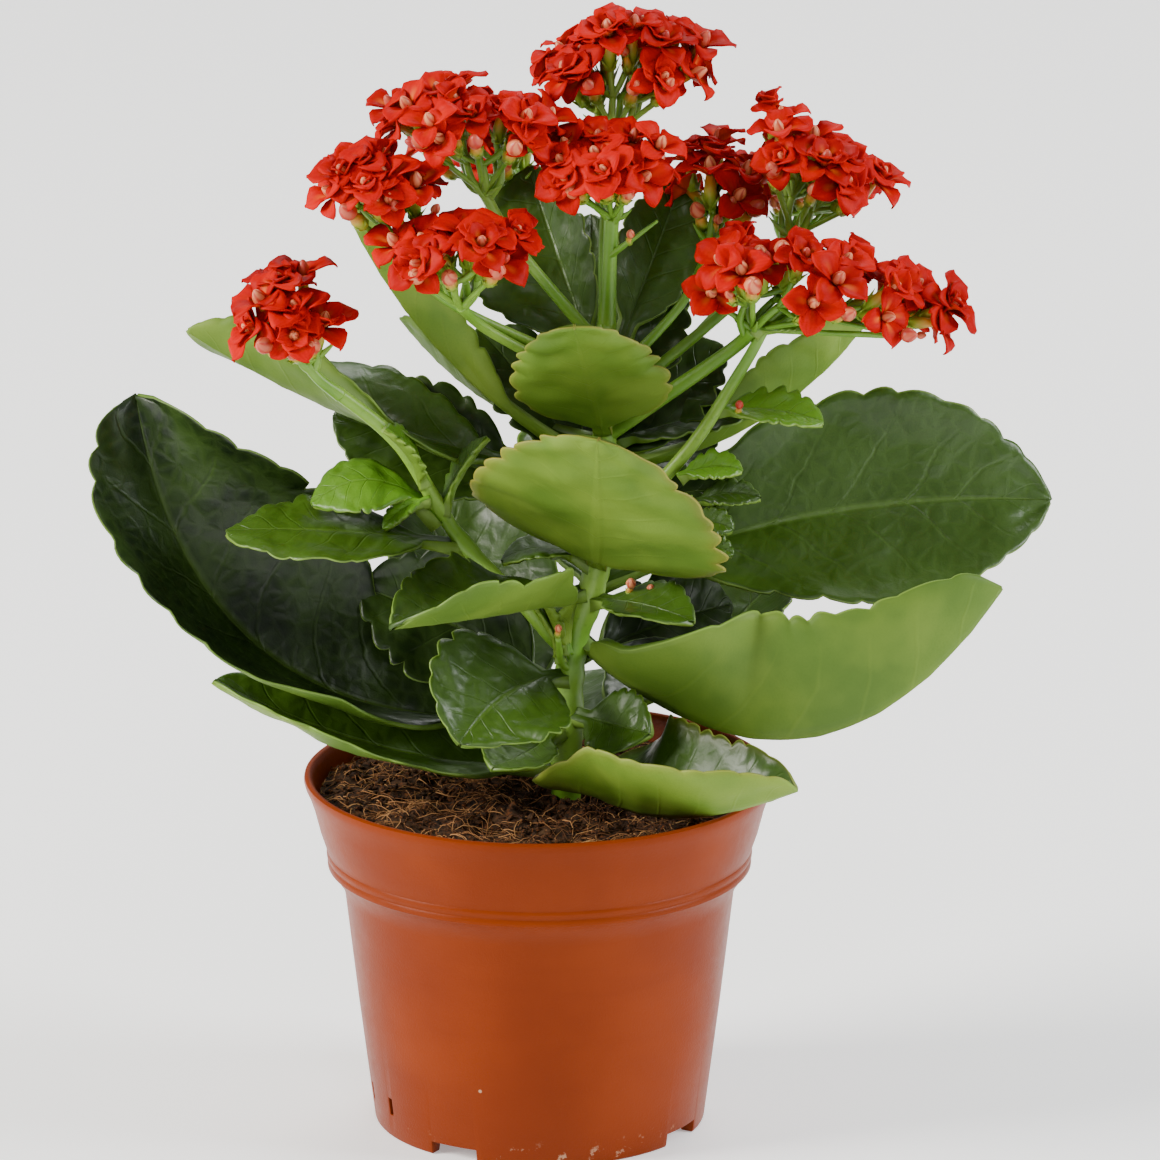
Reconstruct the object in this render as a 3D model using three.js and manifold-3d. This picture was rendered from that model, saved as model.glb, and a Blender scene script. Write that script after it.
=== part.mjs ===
// A flowering kalanchoe in a plastic nursery pot. Millimetres, +Z up, and the side seen in a
// front view faces -Y. The plant is laid out round the pot's axis, with Z measured from the
// surface that the pot stands on. At the end the whole part is shifted so that the origin is the
// centre of its own footprint's box.
import * as THREE from "three";
import { mergeVertices } from "three/addons/utils/BufferGeometryUtils.js";
import Module from "manifold-3d";

const wasm = await Module();
wasm.setup();

// ---------------------------------------------------------------- driving dimensions
const FIT = 0.3; // gap where one piece sits on another

const POT = {
  rim: 52.5, // outer radius of the rolled lip: a 10.5 cm pot
  height: 80,
  lipDrop: 7, // from the rim to where the lip runs into the collar
  collarTop: 50.6, // outer radius of the collar under the lip
  collarFoot: 47.2, // outer radius where the collar's wall ends
  shoulder: 43.6, // outer radius just under the collar
  foot: 36.8, // outer radius at the surface it stands on
  ledge: 20.4, // from the rim to where the collar steps in
  collarHeight: 26, // from the rim to the shoulder
  wall: 1.2,
  floor: 3.6, // height of the floor's underside
  ring: 2.6, // width of the foot ring
  sides: 32,
};
const FEET = { count: 4, gap: 11.5, high: 3, start: -121 }; // notches in the foot ring
const DRAIN = { count: 6, radius: 3.6, ring: 26, start: -91 }; // holes in the floor
const SLITS = { angles: [-169, -151, 11, 29], wide: 1.6, from: 5.6, high: 4 }; // in the wall

// level and relief: the height of the surface and of its clods; heap: how much higher it stands on
// the left; socket: how deep the stem's hole goes.
const SOIL = { level: 74.6, relief: 1.5, heap: 1.6, sides: 32, rings: 4, socket: 62 };
// broad: the width over which a blade has more facets across; notch: how deep its teeth are cut;
// fade: the share of the length over which the petiole runs out into the blade.
const BLADE = { thick: 1.5, petiole: 2.1, petioleThick: 2.6, broad: 36, notch: 1.2, fade: 0.3 };
const BLOOM = { radius: 7.4, notch: 3.4, dish: 2.6, throat: 1.5, bud: 3, petals: 4, stalk: 0.85 };
// How a head's flowers stand: spiral: the angle from one to the next; droop: how far the outer ones
// hang per mm of spread; up and front: how far they turn to the light and to the front; forks: the
// share of the last stretch of stalk over which they part.
const UMBEL = { spiral: 2.39996, droop: 0.3, up: 0.5, front: 0.35, forks: 0.3 };

// Each stem is a chain of points [x, y, z, radius].
const STEMS = {
  main_stem: [
    [6, 0, 62.4, 3.4],
    [6, 0, 76, 3.3],
    [6.5, 0, 99, 3.1],
    [8, 0, 111, 2.9],
    [13, 0, 129, 2.6],
    [14.5, 0, 159, 2.3],
    [15, 0, 184, 2.1],
  ],
  left_stem: [
    [3.2, -1.6, 111.6, 1.7],
    [-4, -4, 121, 1.7],
    [-18.5, -6, 137.5, 1.7],
    [-30.5, -11, 159, 1.6],
    [-44, -13, 171.5, 1.5],
  ],
};

// Leaves. on/z: the stem that carries it and how high; heading: where its tip points, in degrees
// round from +X; rise: how steeply the tip stands above the base; length: base to tip; arch and
// bend: how far the rib's middle stands above and to the right of that line; width: across the
// flattened blade; roll: degrees that the right margin is turned up, at the base and at the tip;
// fold: degrees that the left and the right half rise from the rib; cup: how far each half curls
// on; lean: how much wider the right half is; shape and full: where and how bluntly the blade is
// widest; stalk: the share of the length that is a bare petiole.
const LEAVES = {
  leaf_low_left: { on: "main_stem", z: 93, heading: 174, rise: 38, length: 116, arch: -26, bend: -9,
    width: 64, roll: [28, 56], fold: [34, 14], cup: 30, teeth: 9, lean: 0.16, shape: 1.3, full: 0.45,
    wave: 1.5 },
  leaf_soil_left: { on: "main_stem", z: 81, heading: -174, rise: 17, length: 78, arch: -4, bend: -4,
    width: 34, roll: [16, -6], fold: [26, 16], cup: 24, teeth: 7, shape: 0.9 },
  leaf_low_right: { on: "main_stem", z: 109, heading: -8, rise: 11.2, length: 93, arch: -23, bend: 13,
    width: 58, roll: [6, 2], fold: [10, 74], cup: 24, teeth: 8, shape: 0.75, full: 0.33, stalk: 0.02 },
  leaf_high_right: { on: "main_stem", z: 125, heading: 14, rise: 6, length: 102, arch: 6, bend: -1,
    width: 54, roll: [-52, -62], fold: [14, 10], cup: 20, teeth: 9, wave: 1 },
  leaf_front: { on: "main_stem", z: 131, heading: -90, rise: 44, length: 56, arch: -2,
    width: 60, roll: [18, 18], fold: [-4, -4], cup: 10, teeth: 7, shape: 0.62, full: 0.45, stalk: 0.02 },
  leaf_front_high: { on: "main_stem", z: 162, heading: -103, rise: 48, length: 39,
    width: 36, roll: [-8, -8], fold: [-2, -2], cup: 10, teeth: 6, shape: 0.7, full: 0.45, stalk: 0.02 },
  leaf_front_low: { on: "main_stem", z: 103, heading: -131, rise: -13, length: 34, arch: 4,
    width: 38, roll: [30, 30], fold: [10, 10], cup: 20, teeth: 6 },
  leaf_front_left: { on: "main_stem", z: 122, heading: -138, rise: 4, length: 55, arch: 1, bend: -5,
    width: 40, roll: [30, 30], fold: [58, -14], cup: 20, teeth: 6 },
  leaf_front_right: { on: "main_stem", z: 80, heading: -37, rise: 8, length: 60, arch: -5, bend: 9,
    width: 45, roll: [-8, -12], fold: [40, 50], cup: 20, teeth: 8, shape: 0.75, full: 0.4, stalk: 0.02 },
  leaf_soil_front: { on: "main_stem", z: 90, heading: -131, rise: -8, length: 22, arch: -1,
    width: 19, roll: [6, 6], fold: [6, 12], teeth: 5 },
  leaf_mid_right: { on: "main_stem", z: 94, heading: -50, rise: 4, length: 25, arch: 0,
    width: 18, roll: [-50, -50], fold: [12, 12], teeth: 6 },
  leaf_under_front: { on: "main_stem", z: 120.2, heading: -42, rise: 2, length: 28, arch: 2, bend: 2,
    width: 18, roll: [-14, -14], fold: [12, 12], teeth: 6 },
  leaf_mid_left: { on: "main_stem", z: 129, heading: -172, rise: 2, length: 18, arch: 3,
    width: 18, roll: [0, 0], fold: [0, 0], teeth: 5 },
  leaf_twisted: { on: "main_stem", z: 148, heading: 175, rise: 20, length: 94, arch: -5,
    width: 38, roll: [62, -56], fold: [16, 16], cup: 26, teeth: 9, stalk: 0.24 },
  leaf_upright_left: { on: "main_stem", z: 156.5, heading: 150, rise: 24, length: 53, arch: -5,
    width: 24, roll: [-34, -34], fold: [14, 14], cup: 20, teeth: 6, stalk: 0.3 },
  leaf_tall_left: { on: "main_stem", z: 153, heading: -179, rise: 49, length: 82, arch: -7,
    width: 23, roll: [-30, -26], fold: [26, 26], cup: 20, teeth: 8, stalk: 0.24 },
  leaf_behind_left: { on: "main_stem", z: 150.5, heading: 111, rise: 22, length: 42, arch: 2,
    width: 20, roll: [30, 30], fold: [14, 14], teeth: 5 },
  leaf_top_left: { on: "main_stem", z: 174, heading: 120, rise: 52, length: 48, bend: 0,
    width: 34, roll: [50, 55], fold: [16, 16], cup: 20, teeth: 8, lean: -0.3 },
  leaf_top_right: { on: "main_stem", z: 177, heading: 52, rise: 56, length: 42, arch: 0,
    width: 23, roll: [-40, -40], fold: [16, 16], cup: 20, teeth: 7, lean: 0.1 },
  leaf_pale_right: { on: "main_stem", z: 151, heading: 11, rise: 30, length: 66, arch: -8, bend: -2,
    width: 32, roll: [40, 30], fold: [16, 16], cup: 20, teeth: 7, stalk: 0.24 },
  leaf_behind_right: { on: "main_stem", z: 147.2, heading: 51, rise: 21, length: 35, arch: -3, bend: -3,
    width: 30, roll: [-34, -34], fold: [14, 14], teeth: 6 },
  leaf_dark_left: { on: "main_stem", z: 137, heading: 162, rise: 19, length: 62, arch: 2,
    width: 31, roll: [50, 50], fold: [14, 14], teeth: 7, stalk: 0.3 },
  leaf_left_long: { on: "left_stem", z: 134.5, heading: -168, rise: 7, length: 50, arch: 3, bend: -5,
    width: 32, roll: [6, 6], fold: [-6, 4], cup: 10, teeth: 7 },
  leaf_left_bright: { on: "left_stem", z: 143.5, heading: -172, rise: 4, length: 25, arch: 6,
    width: 20, roll: [20, 20], fold: [-14, -10], cup: 12, teeth: 5 },
  // the far side
  leaf_back_low_left: { on: "main_stem", z: 96, heading: 118, rise: 24, length: 78, arch: -8,
    width: 44, roll: [0, 8], fold: [18, 18], cup: 24, teeth: 7 },
  leaf_back_low_right: { on: "main_stem", z: 90, heading: 48, rise: 18, length: 76, arch: -6,
    width: 42, roll: [0, -8], fold: [18, 18], cup: 24, teeth: 7 },
  leaf_back_soil: { on: "main_stem", z: 82, heading: 88, rise: 4, length: 52, arch: 3,
    width: 32, roll: [0, 0], fold: [12, 12], teeth: 6 },
  leaf_back: { on: "main_stem", z: 118, heading: 84, rise: 28, length: 74, arch: -6,
    width: 46, roll: [6, 0], fold: [16, 16], cup: 24, teeth: 7 },
  leaf_back_high: { on: "main_stem", z: 162, heading: 94, rise: 40, length: 54, arch: -5,
    width: 25, roll: [-6, 0], fold: [16, 16], cup: 20, teeth: 6 },
};

// Flower heads. on/z: the stem that the stalk leaves and how high; via: the point it passes; hub:
// where the flower stalks part; centre: the middle of the flowers; spread: how far they reach in X
// and Y; tiers: how much their heights differ; slope: how far the head falls away per mm in X;
// flowers: how many; stalk: the radius of the stalk that carries them all.
const HEADS = {
  head_left: { on: "left_stem", z: 171.5, via: [-48, -14.5, 175], hub: [-51, -15, 179],
    centre: [-54, -15, 193], spread: [8, 7], tiers: 11, flowers: 6, stalk: 1.5 },
  head_a: { on: "main_stem", z: 172, via: [-18, -9, 190], hub: [-28, -9, 200], centre: [-35, -12.5, 220.5],
    spread: [10.5, 6], tiers: 5, flowers: 7, stalk: 1.2 },
  head_b: { on: "main_stem", z: 168, via: [-10, -9, 184], hub: [-17, -16, 192], centre: [-18, -22, 208],
    spread: [15, 7], tiers: 4, flowers: 8, stalk: 1.3 },
  head_c: { on: "main_stem", z: 177, via: [-4, 0, 200], hub: [-12, -2, 214], centre: [-15, -4, 233],
    spread: [18, 10], tiers: 5, flowers: 11, stalk: 1.4 },
  head_d: { on: "main_stem", z: 184, via: [15.5, -2, 198], hub: [16, -4, 209], centre: [14.5, -7, 224],
    spread: [13, 8], tiers: 5, flowers: 10, stalk: 1.9 },
  head_e: { on: "main_stem", z: 182, via: [14.5, 1.6, 204], hub: [17, 12, 224], centre: [19, 16, 243],
    spread: [16.5, 10], tiers: 9, flowers: 15, stalk: 1.5 },
  head_f: { on: "main_stem", z: 170, via: [31, -1, 188], hub: [38, 8, 200], centre: [41, 16, 215],
    spread: [9, 7], tiers: 9, flowers: 6, stalk: 1.2 },
  head_g: { on: "main_stem", z: 164, via: [44, 5, 188], hub: [56, 6, 202], centre: [61, 9, 221],
    spread: [15, 9], tiers: 7, slope: 0.42, flowers: 10, stalk: 1.3 },
  head_h: { on: "main_stem", z: 158, via: [44, -4, 178], hub: [54, -8, 185], centre: [63, -13, 200],
    spread: [28, 12], tiers: 7, slope: 0.3, flowers: 17, stalk: 1.8 },
  head_back_left: { on: "main_stem", z: 166, via: [10, 24, 190], hub: [-6, 32, 206], centre: [-14, 34, 219],
    spread: [13, 10], tiers: 4, flowers: 7, stalk: 1.3 },
  head_back_right: { on: "main_stem", z: 158, via: [44, 26, 184], hub: [56, 32, 196], centre: [60, 35, 210],
    spread: [13, 10], tiers: 4, flowers: 7, stalk: 1.3 },
};

const slots = {
  pot: new THREE.MeshStandardMaterial({ color: 0xb4552b, roughness: 0.5, metalness: 0 }),
  soil: new THREE.MeshStandardMaterial({ color: 0x3a2416, roughness: 1, metalness: 0 }),
  stem: new THREE.MeshStandardMaterial({ color: 0x7fa13a, roughness: 0.55, metalness: 0 }),
  leaf: new THREE.MeshStandardMaterial({ color: 0x3f6420, roughness: 0.45, metalness: 0 }),
  flower: new THREE.MeshStandardMaterial({ color: 0xc81414, roughness: 0.6, metalness: 0 }),
};

const rad = THREE.MathUtils.degToRad;
const vec = (p) => new THREE.Vector3(p[0], p[1], p[2]);
const UP = new THREE.Vector3(0, 0, 1);

// ---------------------------------------------------------------- solids
function geometryOf(points, triangles) {
  const geometry = new THREE.BufferGeometry();
  const flat = points.flatMap((p) => [p.x, p.y, p.z]);
  geometry.setAttribute("position", new THREE.Float32BufferAttribute(flat, 3));
  geometry.setIndex(triangles.flat());
  return geometry;
}

function solidOf(geometry) {
  const bare = geometry.clone();
  bare.deleteAttribute("normal");
  bare.deleteAttribute("uv");
  const merged = mergeVertices(bare, 1e-3);
  return new wasm.Manifold(
    new wasm.Mesh({
      numProp: 3,
      vertProperties: new Float32Array(merged.attributes.position.array),
      triVerts: new Uint32Array(merged.index.array),
    }),
  );
}

function geometryFromSolid(solid) {
  const mesh = solid.getMesh();
  const geometry = new THREE.BufferGeometry();
  geometry.setAttribute("position", new THREE.Float32BufferAttribute([...mesh.vertProperties], 3));
  geometry.setIndex([...mesh.triVerts]);
  return geometry;
}

// The union of several geometries, keeping the one body that holds together.
function fuse(geometries) {
  const joined = wasm.Manifold.union(geometries.map(solidOf)).simplify(0.02);
  const bodies = joined.decompose().sort((a, b) => b.volume() - a.volume());
  return geometryFromSolid(bodies[0]);
}

// ---------------------------------------------------------------- stems
// A closed round tube whose rings stand on the given [x, y, z, radius] points.
function tube(chain, sides) {
  const points = chain.map(vec);
  const rings = [];
  let side = new THREE.Vector3(1, 0, 0);
  chain.forEach((ring, i) => {
    const before = points[Math.max(0, i - 1)];
    const after = points[Math.min(points.length - 1, i + 1)];
    const along = after.clone().sub(before).normalize();
    side = side.clone().addScaledVector(along, -side.dot(along)).normalize();
    const across = new THREE.Vector3().crossVectors(along, side);
    for (let k = 0; k < sides; k++) {
      const turn = (2 * Math.PI * k) / sides;
      const out = side.clone().multiplyScalar(Math.cos(turn)).addScaledVector(across, Math.sin(turn));
      rings.push(points[i].clone().addScaledVector(out, ring[3]));
    }
  });
  const faces = [];
  for (let i = 0; i < chain.length - 1; i++) {
    for (let k = 0; k < sides; k++) {
      const a = i * sides + k;
      const b = i * sides + ((k + 1) % sides);
      faces.push([a, b, b + sides], [a, b + sides, a + sides]);
    }
  }
  const last = (chain.length - 1) * sides;
  for (let k = 1; k < sides - 1; k++) {
    faces.push([0, k + 1, k], [last, last + k, last + k + 1]);
  }
  return geometryOf(rings, faces);
}

function stemAt(name, z) {
  const chain = STEMS[name];
  const i = Math.max(1, chain.findIndex((p) => p[2] >= z));
  const [low, high] = [chain[i - 1], chain[i]];
  const share = (z - low[2]) / (high[2] - low[2]);
  const [x, y, , radius] = low.map((value, k) => value + (high[k] - value) * share);
  return { centre: new THREE.Vector3(x, y, z), radius, along: vec(high).sub(vec(low)).normalize() };
}

// Where a piece that leaves the stem outwards starts, just clear of its skin. reach(n) is how far
// the piece's own end stands towards the stem, along the direction n.
function seat(name, z, outward, reach) {
  const { centre, radius, along } = stemAt(name, z);
  const square = outward.clone().addScaledVector(along, -outward.dot(along));
  const slant = square.length();
  const clear = (radius + FIT + reach(square.divideScalar(slant))) / slant;
  return centre.addScaledVector(outward, clear);
}

// ---------------------------------------------------------------- leaves
function leafRib(leaf) {
  const [heading, rise, turn] = [rad(leaf.heading), rad(leaf.rise), rad(leaf.roll[0])];
  const outward = new THREE.Vector3(Math.cos(heading), Math.sin(heading), 0);
  const along = outward.clone().multiplyScalar(Math.cos(rise)).addScaledVector(UP, Math.sin(rise));
  const side = new THREE.Vector3().crossVectors(along, UP).normalize();
  const face = new THREE.Vector3().crossVectors(side, along);
  const across = side.clone().multiplyScalar(Math.cos(turn)).addScaledVector(face, Math.sin(turn));
  const normal = new THREE.Vector3().crossVectors(across, along);
  const start = seat(leaf.on, leaf.z, outward, (n) =>
    BLADE.petiole * Math.abs(across.dot(n)) + (BLADE.petioleThick / 2) * Math.abs(normal.dot(n)));
  const tip = start.clone().addScaledVector(along, leaf.length);
  const mid = start.clone().lerp(tip, 0.5);
  mid.addScaledVector(face, leaf.arch ?? 0).addScaledVector(side, leaf.bend ?? 0);
  const control = mid.multiplyScalar(2).addScaledVector(start, -0.5).addScaledVector(tip, -0.5);
  return new THREE.QuadraticBezierCurve3(start, control, tip);
}

function halfWidth(leaf, t, sign) {
  const stalk = leaf.stalk ?? 0.14;
  const s = Math.max(0, (t - stalk) / (1 - stalk));
  const wide = (leaf.width / 2) * (1 + sign * (leaf.lean ?? 0));
  const blade = wide * Math.max(0, Math.sin(Math.PI * s ** (leaf.shape ?? 1.05))) ** (leaf.full ?? 0.62);
  const petiole = BLADE.petiole * Math.max(0, 1 - s / BLADE.fade);
  return Math.max(0.5, (blade ** 3 + petiole ** 3) ** (1 / 3));
}

// How far a rounded tooth stands in from the leaf's outline: 0 on its crest, 1 in the notch.
function notchShare(place) {
  const x = place - Math.floor(place);
  return 1 - Math.sin(Math.PI * x ** 1.5) ** 0.6;
}

// The point at t along the rib and v across the blade, from -1 to 1, with the blade's normal.
function leafPoint(leaf, rib, t, v, notch) {
  const centre = rib.getPoint(t);
  const along = rib.getTangent(t);
  const side = new THREE.Vector3().crossVectors(along, UP).normalize();
  const face = new THREE.Vector3().crossVectors(side, along);
  const turn = rad(leaf.roll[0] + (leaf.roll[1] - leaf.roll[0]) * t);
  const across = side.clone().multiplyScalar(Math.cos(turn)).addScaledVector(face, Math.sin(turn));
  const normal = face.clone().multiplyScalar(Math.cos(turn)).addScaledVector(side, -Math.sin(turn));
  const w = Math.abs(v);
  const sign = v < 0 ? -1 : 1;
  const open = Math.min(1, Math.max(0, (t - 0.1) / 0.25));
  const fold = rad(leaf.fold[v < 0 ? 0 : 1]) * (0.35 + 0.65 * open);
  const cup = rad(leaf.cup ?? 12);
  const half = halfWidth(leaf, t, sign) - BLADE.notch * notch * w ** 4 * open;
  const tilt = fold + cup * w;
  const lateral = (half * (Math.sin(tilt) - Math.sin(fold))) / cup;
  const lift = (half * (Math.cos(fold) - Math.cos(tilt))) / cup;
  const wave = (leaf.wave ?? 0) * Math.sin(2 * Math.PI * (2.5 * t + (v < 0 ? 0.35 : 0))) * w * w * open;
  const point = centre.addScaledVector(across, sign * lateral).addScaledVector(normal, lift + wave);
  const out = normal.multiplyScalar(Math.cos(tilt)).addScaledVector(across, -sign * Math.sin(tilt));
  return { point, out };
}

// A leaf as two like grids, one for each face, joined round the margin.
function leafGeometry(leaf) {
  const rib = leafRib(leaf);
  const columns = leaf.width > BLADE.broad ? [-1, -0.55, 0, 0.55, 1] : [-1, 0, 1];
  const stalk = leaf.stalk ?? 0.14;
  const stations = [{ t: 0, notch: 0 }, { t: stalk + 0.02, notch: 0 }];
  for (let k = 0; k < leaf.teeth; k++) {
    for (const x of [0.6, 1]) {
      const u = (k + x) / leaf.teeth;
      const s = 0.55 * u + 0.45 * Math.sin((Math.PI / 2) * u);
      const isTip = k === leaf.teeth - 1 && x === 1;
      if (stalk + (1 - stalk) * s > stalk + 0.04) {
        stations.push({ t: stalk + (1 - stalk) * s, notch: isTip ? 0 : notchShare(x) });
      }
    }
  }
  const top = [];
  const under = [];
  for (const { t, notch } of stations) {
    const fleshy = Math.max(0, 1 - t / BLADE.fade);
    const thick = BLADE.thick + (BLADE.petioleThick - BLADE.thick) * fleshy;
    for (const v of columns) {
      const { point, out } = leafPoint(leaf, rib, t, v, notch);
      top.push(point.clone().addScaledVector(out, thick / 2));
      under.push(point.clone().addScaledVector(out, -thick / 2));
    }
  }
  const n = columns.length;
  const below = top.length;
  const faces = [];
  for (let i = 0; i < stations.length - 1; i++) {
    for (let j = 0; j < n - 1; j++) {
      const a = i * n + j;
      faces.push([a, a + 1, a + n + 1], [a, a + n + 1, a + n]);
      const b = below + a;
      faces.push([b, b + n + 1, b + 1], [b, b + n, b + n + 1]);
    }
    const left = i * n;
    const right = left + n - 1;
    faces.push([left, left + n, below + left + n], [left, below + left + n, below + left]);
    faces.push([right, below + right + n, right + n], [right, below + right, below + right + n]);
  }
  const end = (stations.length - 1) * n;
  for (let j = 0; j < n - 1; j++) {
    faces.push([j, below + j + 1, j + 1], [j, below + j, below + j + 1]);
    faces.push([end + j, end + j + 1, below + end + j + 1], [end + j, below + end + j + 1, below + end + j]);
  }
  return geometryOf([...top, ...under], faces);
}

// ---------------------------------------------------------------- flowers
const golden = (i, k) => ((i + 1) * [0.618034, 0.754878, 0.569840][k]) % 1;

// One flower on its own stalk: a dished star of pointed petals with the closed bud on top, whose
// underside narrows into a four-sided stalk that runs down to its root.
function bloom({ place, facing, turn, root }) {
  const side = new THREE.Vector3().crossVectors(facing, new THREE.Vector3(0, 1, 0)).normalize();
  const across = new THREE.Vector3().crossVectors(facing, side);
  const ringPoint = (centre, radius, lift, eighth) => {
    const angle = turn + (Math.PI * eighth) / 4;
    return centre
      .clone()
      .addScaledVector(side, radius * Math.cos(angle))
      .addScaledVector(across, radius * Math.sin(angle))
      .addScaledVector(facing, lift);
  };
  const [tips, notches, necks, feet] = [[], [], [], []];
  for (let k = 0; k < BLOOM.petals; k++) {
    tips.push(ringPoint(place, BLOOM.radius, BLOOM.dish, 2 * k));
    notches.push(ringPoint(place, BLOOM.notch, BLOOM.throat, 2 * k + 1));
    necks.push(ringPoint(place, BLOOM.stalk, 0, 2 * k));
    feet.push(ringPoint(root, BLOOM.stalk, 0, 2 * k));
  }
  const n = BLOOM.petals;
  const bud = 4 * n;
  const faces = [];
  for (let k = 0; k < n; k++) {
    const next = (k + 1) % n;
    const [tip, notch, neck, foot] = [k, n + k, 2 * n + k, 3 * n + k];
    const [tip2, neck2, foot2] = [next, 2 * n + next, 3 * n + next];
    faces.push([bud, tip, notch], [bud, notch, tip2]);
    faces.push([tip, neck, notch], [notch, neck, neck2], [notch, neck2, tip2]);
    faces.push([foot, foot2, neck2], [foot, neck2, neck]);
    if (k > 1) faces.push([3 * n, foot, foot - 1]);
  }
  const top = place.clone().addScaledVector(facing, BLOOM.bud);
  return geometryOf([...tips, ...notches, ...necks, ...feet, top], faces);
}

// The places and facings of one head's flowers, spiralling out from its middle.
function flowersOf(head) {
  const hub = vec(head.hub);
  return Array.from({ length: head.flowers }, (_, i) => {
    const share = (i + 0.5) / head.flowers;
    const angle = i * UMBEL.spiral + head.centre[0];
    const x = head.spread[0] * Math.sqrt(share) * Math.cos(angle);
    const y = head.spread[1] * Math.sqrt(share) * Math.sin(angle);
    const tier = head.tiers * (golden(i, 0) - 0.5);
    const z = tier - UMBEL.droop * head.spread[1] * share - (head.slope ?? 0) * x;
    const place = vec(head.centre).add(new THREE.Vector3(x, y, z));
    const facing = place.clone().sub(hub).normalize().addScaledVector(UP, UMBEL.up);
    facing.add(new THREE.Vector3(0, -UMBEL.front, 0)).normalize();
    const root = hub.clone().lerp(vec(head.via), UMBEL.forks * golden(i, 2));
    return { place, facing, turn: 2 * Math.PI * golden(i, 1), root };
  });
}

function headGeometry(head) {
  const [via, hub] = [vec(head.via), vec(head.hub)];
  const end = STEMS[head.on].at(-1);
  const leaving = via.clone().sub(stemAt(head.on, head.z).centre);
  const outward = leaving.clone().setZ(0).normalize();
  leaving.normalize();
  const start = head.z < end[2]
    ? seat(head.on, head.z, outward, (n) => head.stalk * Math.sqrt(1 - leaving.dot(n) ** 2))
    : vec(end).lerp(via, FIT / vec(end).distanceTo(via));
  const pieces = [tube([
    [...start, head.stalk],
    [...via, head.stalk * 0.9],
    [...hub, head.stalk * 0.8],
  ], 5)];
  pieces.push(...flowersOf(head).map(bloom));
  return fuse(pieces);
}

// ---------------------------------------------------------------- pot and soil
function potGeometry() {
  const { rim, height, lipDrop, collarTop, collarFoot, shoulder, foot, wall, floor, ring } = POT;
  const top = height - lipDrop;
  const ledge = height - POT.ledge;
  const knee = height - POT.collarHeight;
  const outline = [
    [0, floor],
    [foot - ring - 0.8, floor],
    [foot - ring, 0],
    [foot, 0],
    [shoulder, knee],
    [collarFoot, ledge],
    [collarTop, top],
    [rim - 0.9, height - 3.8],
    [rim, height - 1.2],
    [rim - 1.2, height],
    [rim - 2.2, height - 0.4],
    [collarTop - wall - 0.2, top],
    [collarFoot - wall, ledge],
    [shoulder - wall, knee],
    [foot - wall, floor + wall],
    [0, floor + wall],
  ].map(([r, z]) => new THREE.Vector2(r, z));
  const body = new THREE.LatheGeometry(outline, POT.sides);
  body.rotateX(Math.PI / 2);
  const cuts = [];
  for (let k = 0; k < FEET.count; k++) {
    const notch = new THREE.BoxGeometry(4 * ring, FEET.gap, 2 * FEET.high);
    notch.translate(foot, 0, 0);
    cuts.push(notch.rotateZ(rad(FEET.start + (360 / FEET.count) * k)));
  }
  for (let k = 0; k < DRAIN.count; k++) {
    const hole = new THREE.CylinderGeometry(DRAIN.radius, DRAIN.radius, 4 * wall, 8);
    hole.rotateX(Math.PI / 2);
    hole.translate(DRAIN.ring, 0, floor + wall / 2);
    cuts.push(hole.rotateZ(rad(DRAIN.start + (360 / DRAIN.count) * k)));
  }
  for (const angle of SLITS.angles) {
    const slit = new THREE.BoxGeometry(6 * wall, SLITS.wide, SLITS.high);
    slit.translate(foot, 0, SLITS.from + SLITS.high / 2);
    cuts.push(slit.rotateZ(rad(angle)));
  }
  return geometryFromSolid(cuts.reduce((solid, cut) => solid.subtract(solidOf(cut)), solidOf(body)));
}

function soilGeometry() {
  const { wall, floor, foot, shoulder, height, collarHeight, collarFoot, collarTop } = POT;
  const gap = wall + 2 * FIT; // the soil's coarser ring of sides stays clear of the pot's
  const bottom = floor + wall + FIT;
  const edge = collarTop - gap - 0.6;
  const rows = [
    [foot - gap, bottom],
    [shoulder - gap, height - collarHeight],
    [collarFoot - gap, height - POT.ledge],
    [edge, SOIL.level - SOIL.relief],
  ];
  const points = [new THREE.Vector3(0, 0, bottom)];
  const ringAt = (radius, z, relief) => {
    for (let k = 0; k < SOIL.sides; k++) {
      const a = (2 * Math.PI * k) / SOIL.sides;
      const heap = relief && SOIL.heap * Math.max(0, -Math.cos(a)) * (radius / edge);
      const clods = relief * (Math.sin(5 * a + radius) + Math.sin(9 * a - radius)) * 0.5;
      points.push(new THREE.Vector3(radius * Math.cos(a), radius * Math.sin(a), z + heap + clods));
    }
  };
  rows.forEach(([radius, z]) => ringAt(radius, z, 0));
  for (let i = SOIL.rings; i >= 1; i--) {
    ringAt((edge * i) / (SOIL.rings + 0.4), SOIL.level, SOIL.relief);
  }
  points.push(new THREE.Vector3(0, 0, SOIL.level));
  const faces = [];
  const rings = rows.length + SOIL.rings;
  const n = SOIL.sides;
  for (let k = 0; k < n; k++) {
    const next = (k + 1) % n;
    faces.push([0, 1 + next, 1 + k]);
    for (let i = 0; i < rings - 1; i++) {
      const [a, b] = [1 + i * n + k, 1 + i * n + next];
      faces.push([a, b, b + n], [a, b + n, a + n]);
    }
    faces.push([points.length - 1, 1 + (rings - 1) * n + k, 1 + (rings - 1) * n + next]);
  }
  let solid = solidOf(geometryOf(points, faces));
  const [x, y, , radius] = STEMS.main_stem[0];
  const socket = tube([
    [x, y, SOIL.socket, radius + 0.5],
    [x, y, SOIL.level + 12, radius + 0.5],
  ], 12);
  solid = solid.subtract(solidOf(socket));
  return geometryFromSolid(solid);
}

// ---------------------------------------------------------------- the part
const plant = new THREE.Group();

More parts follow.
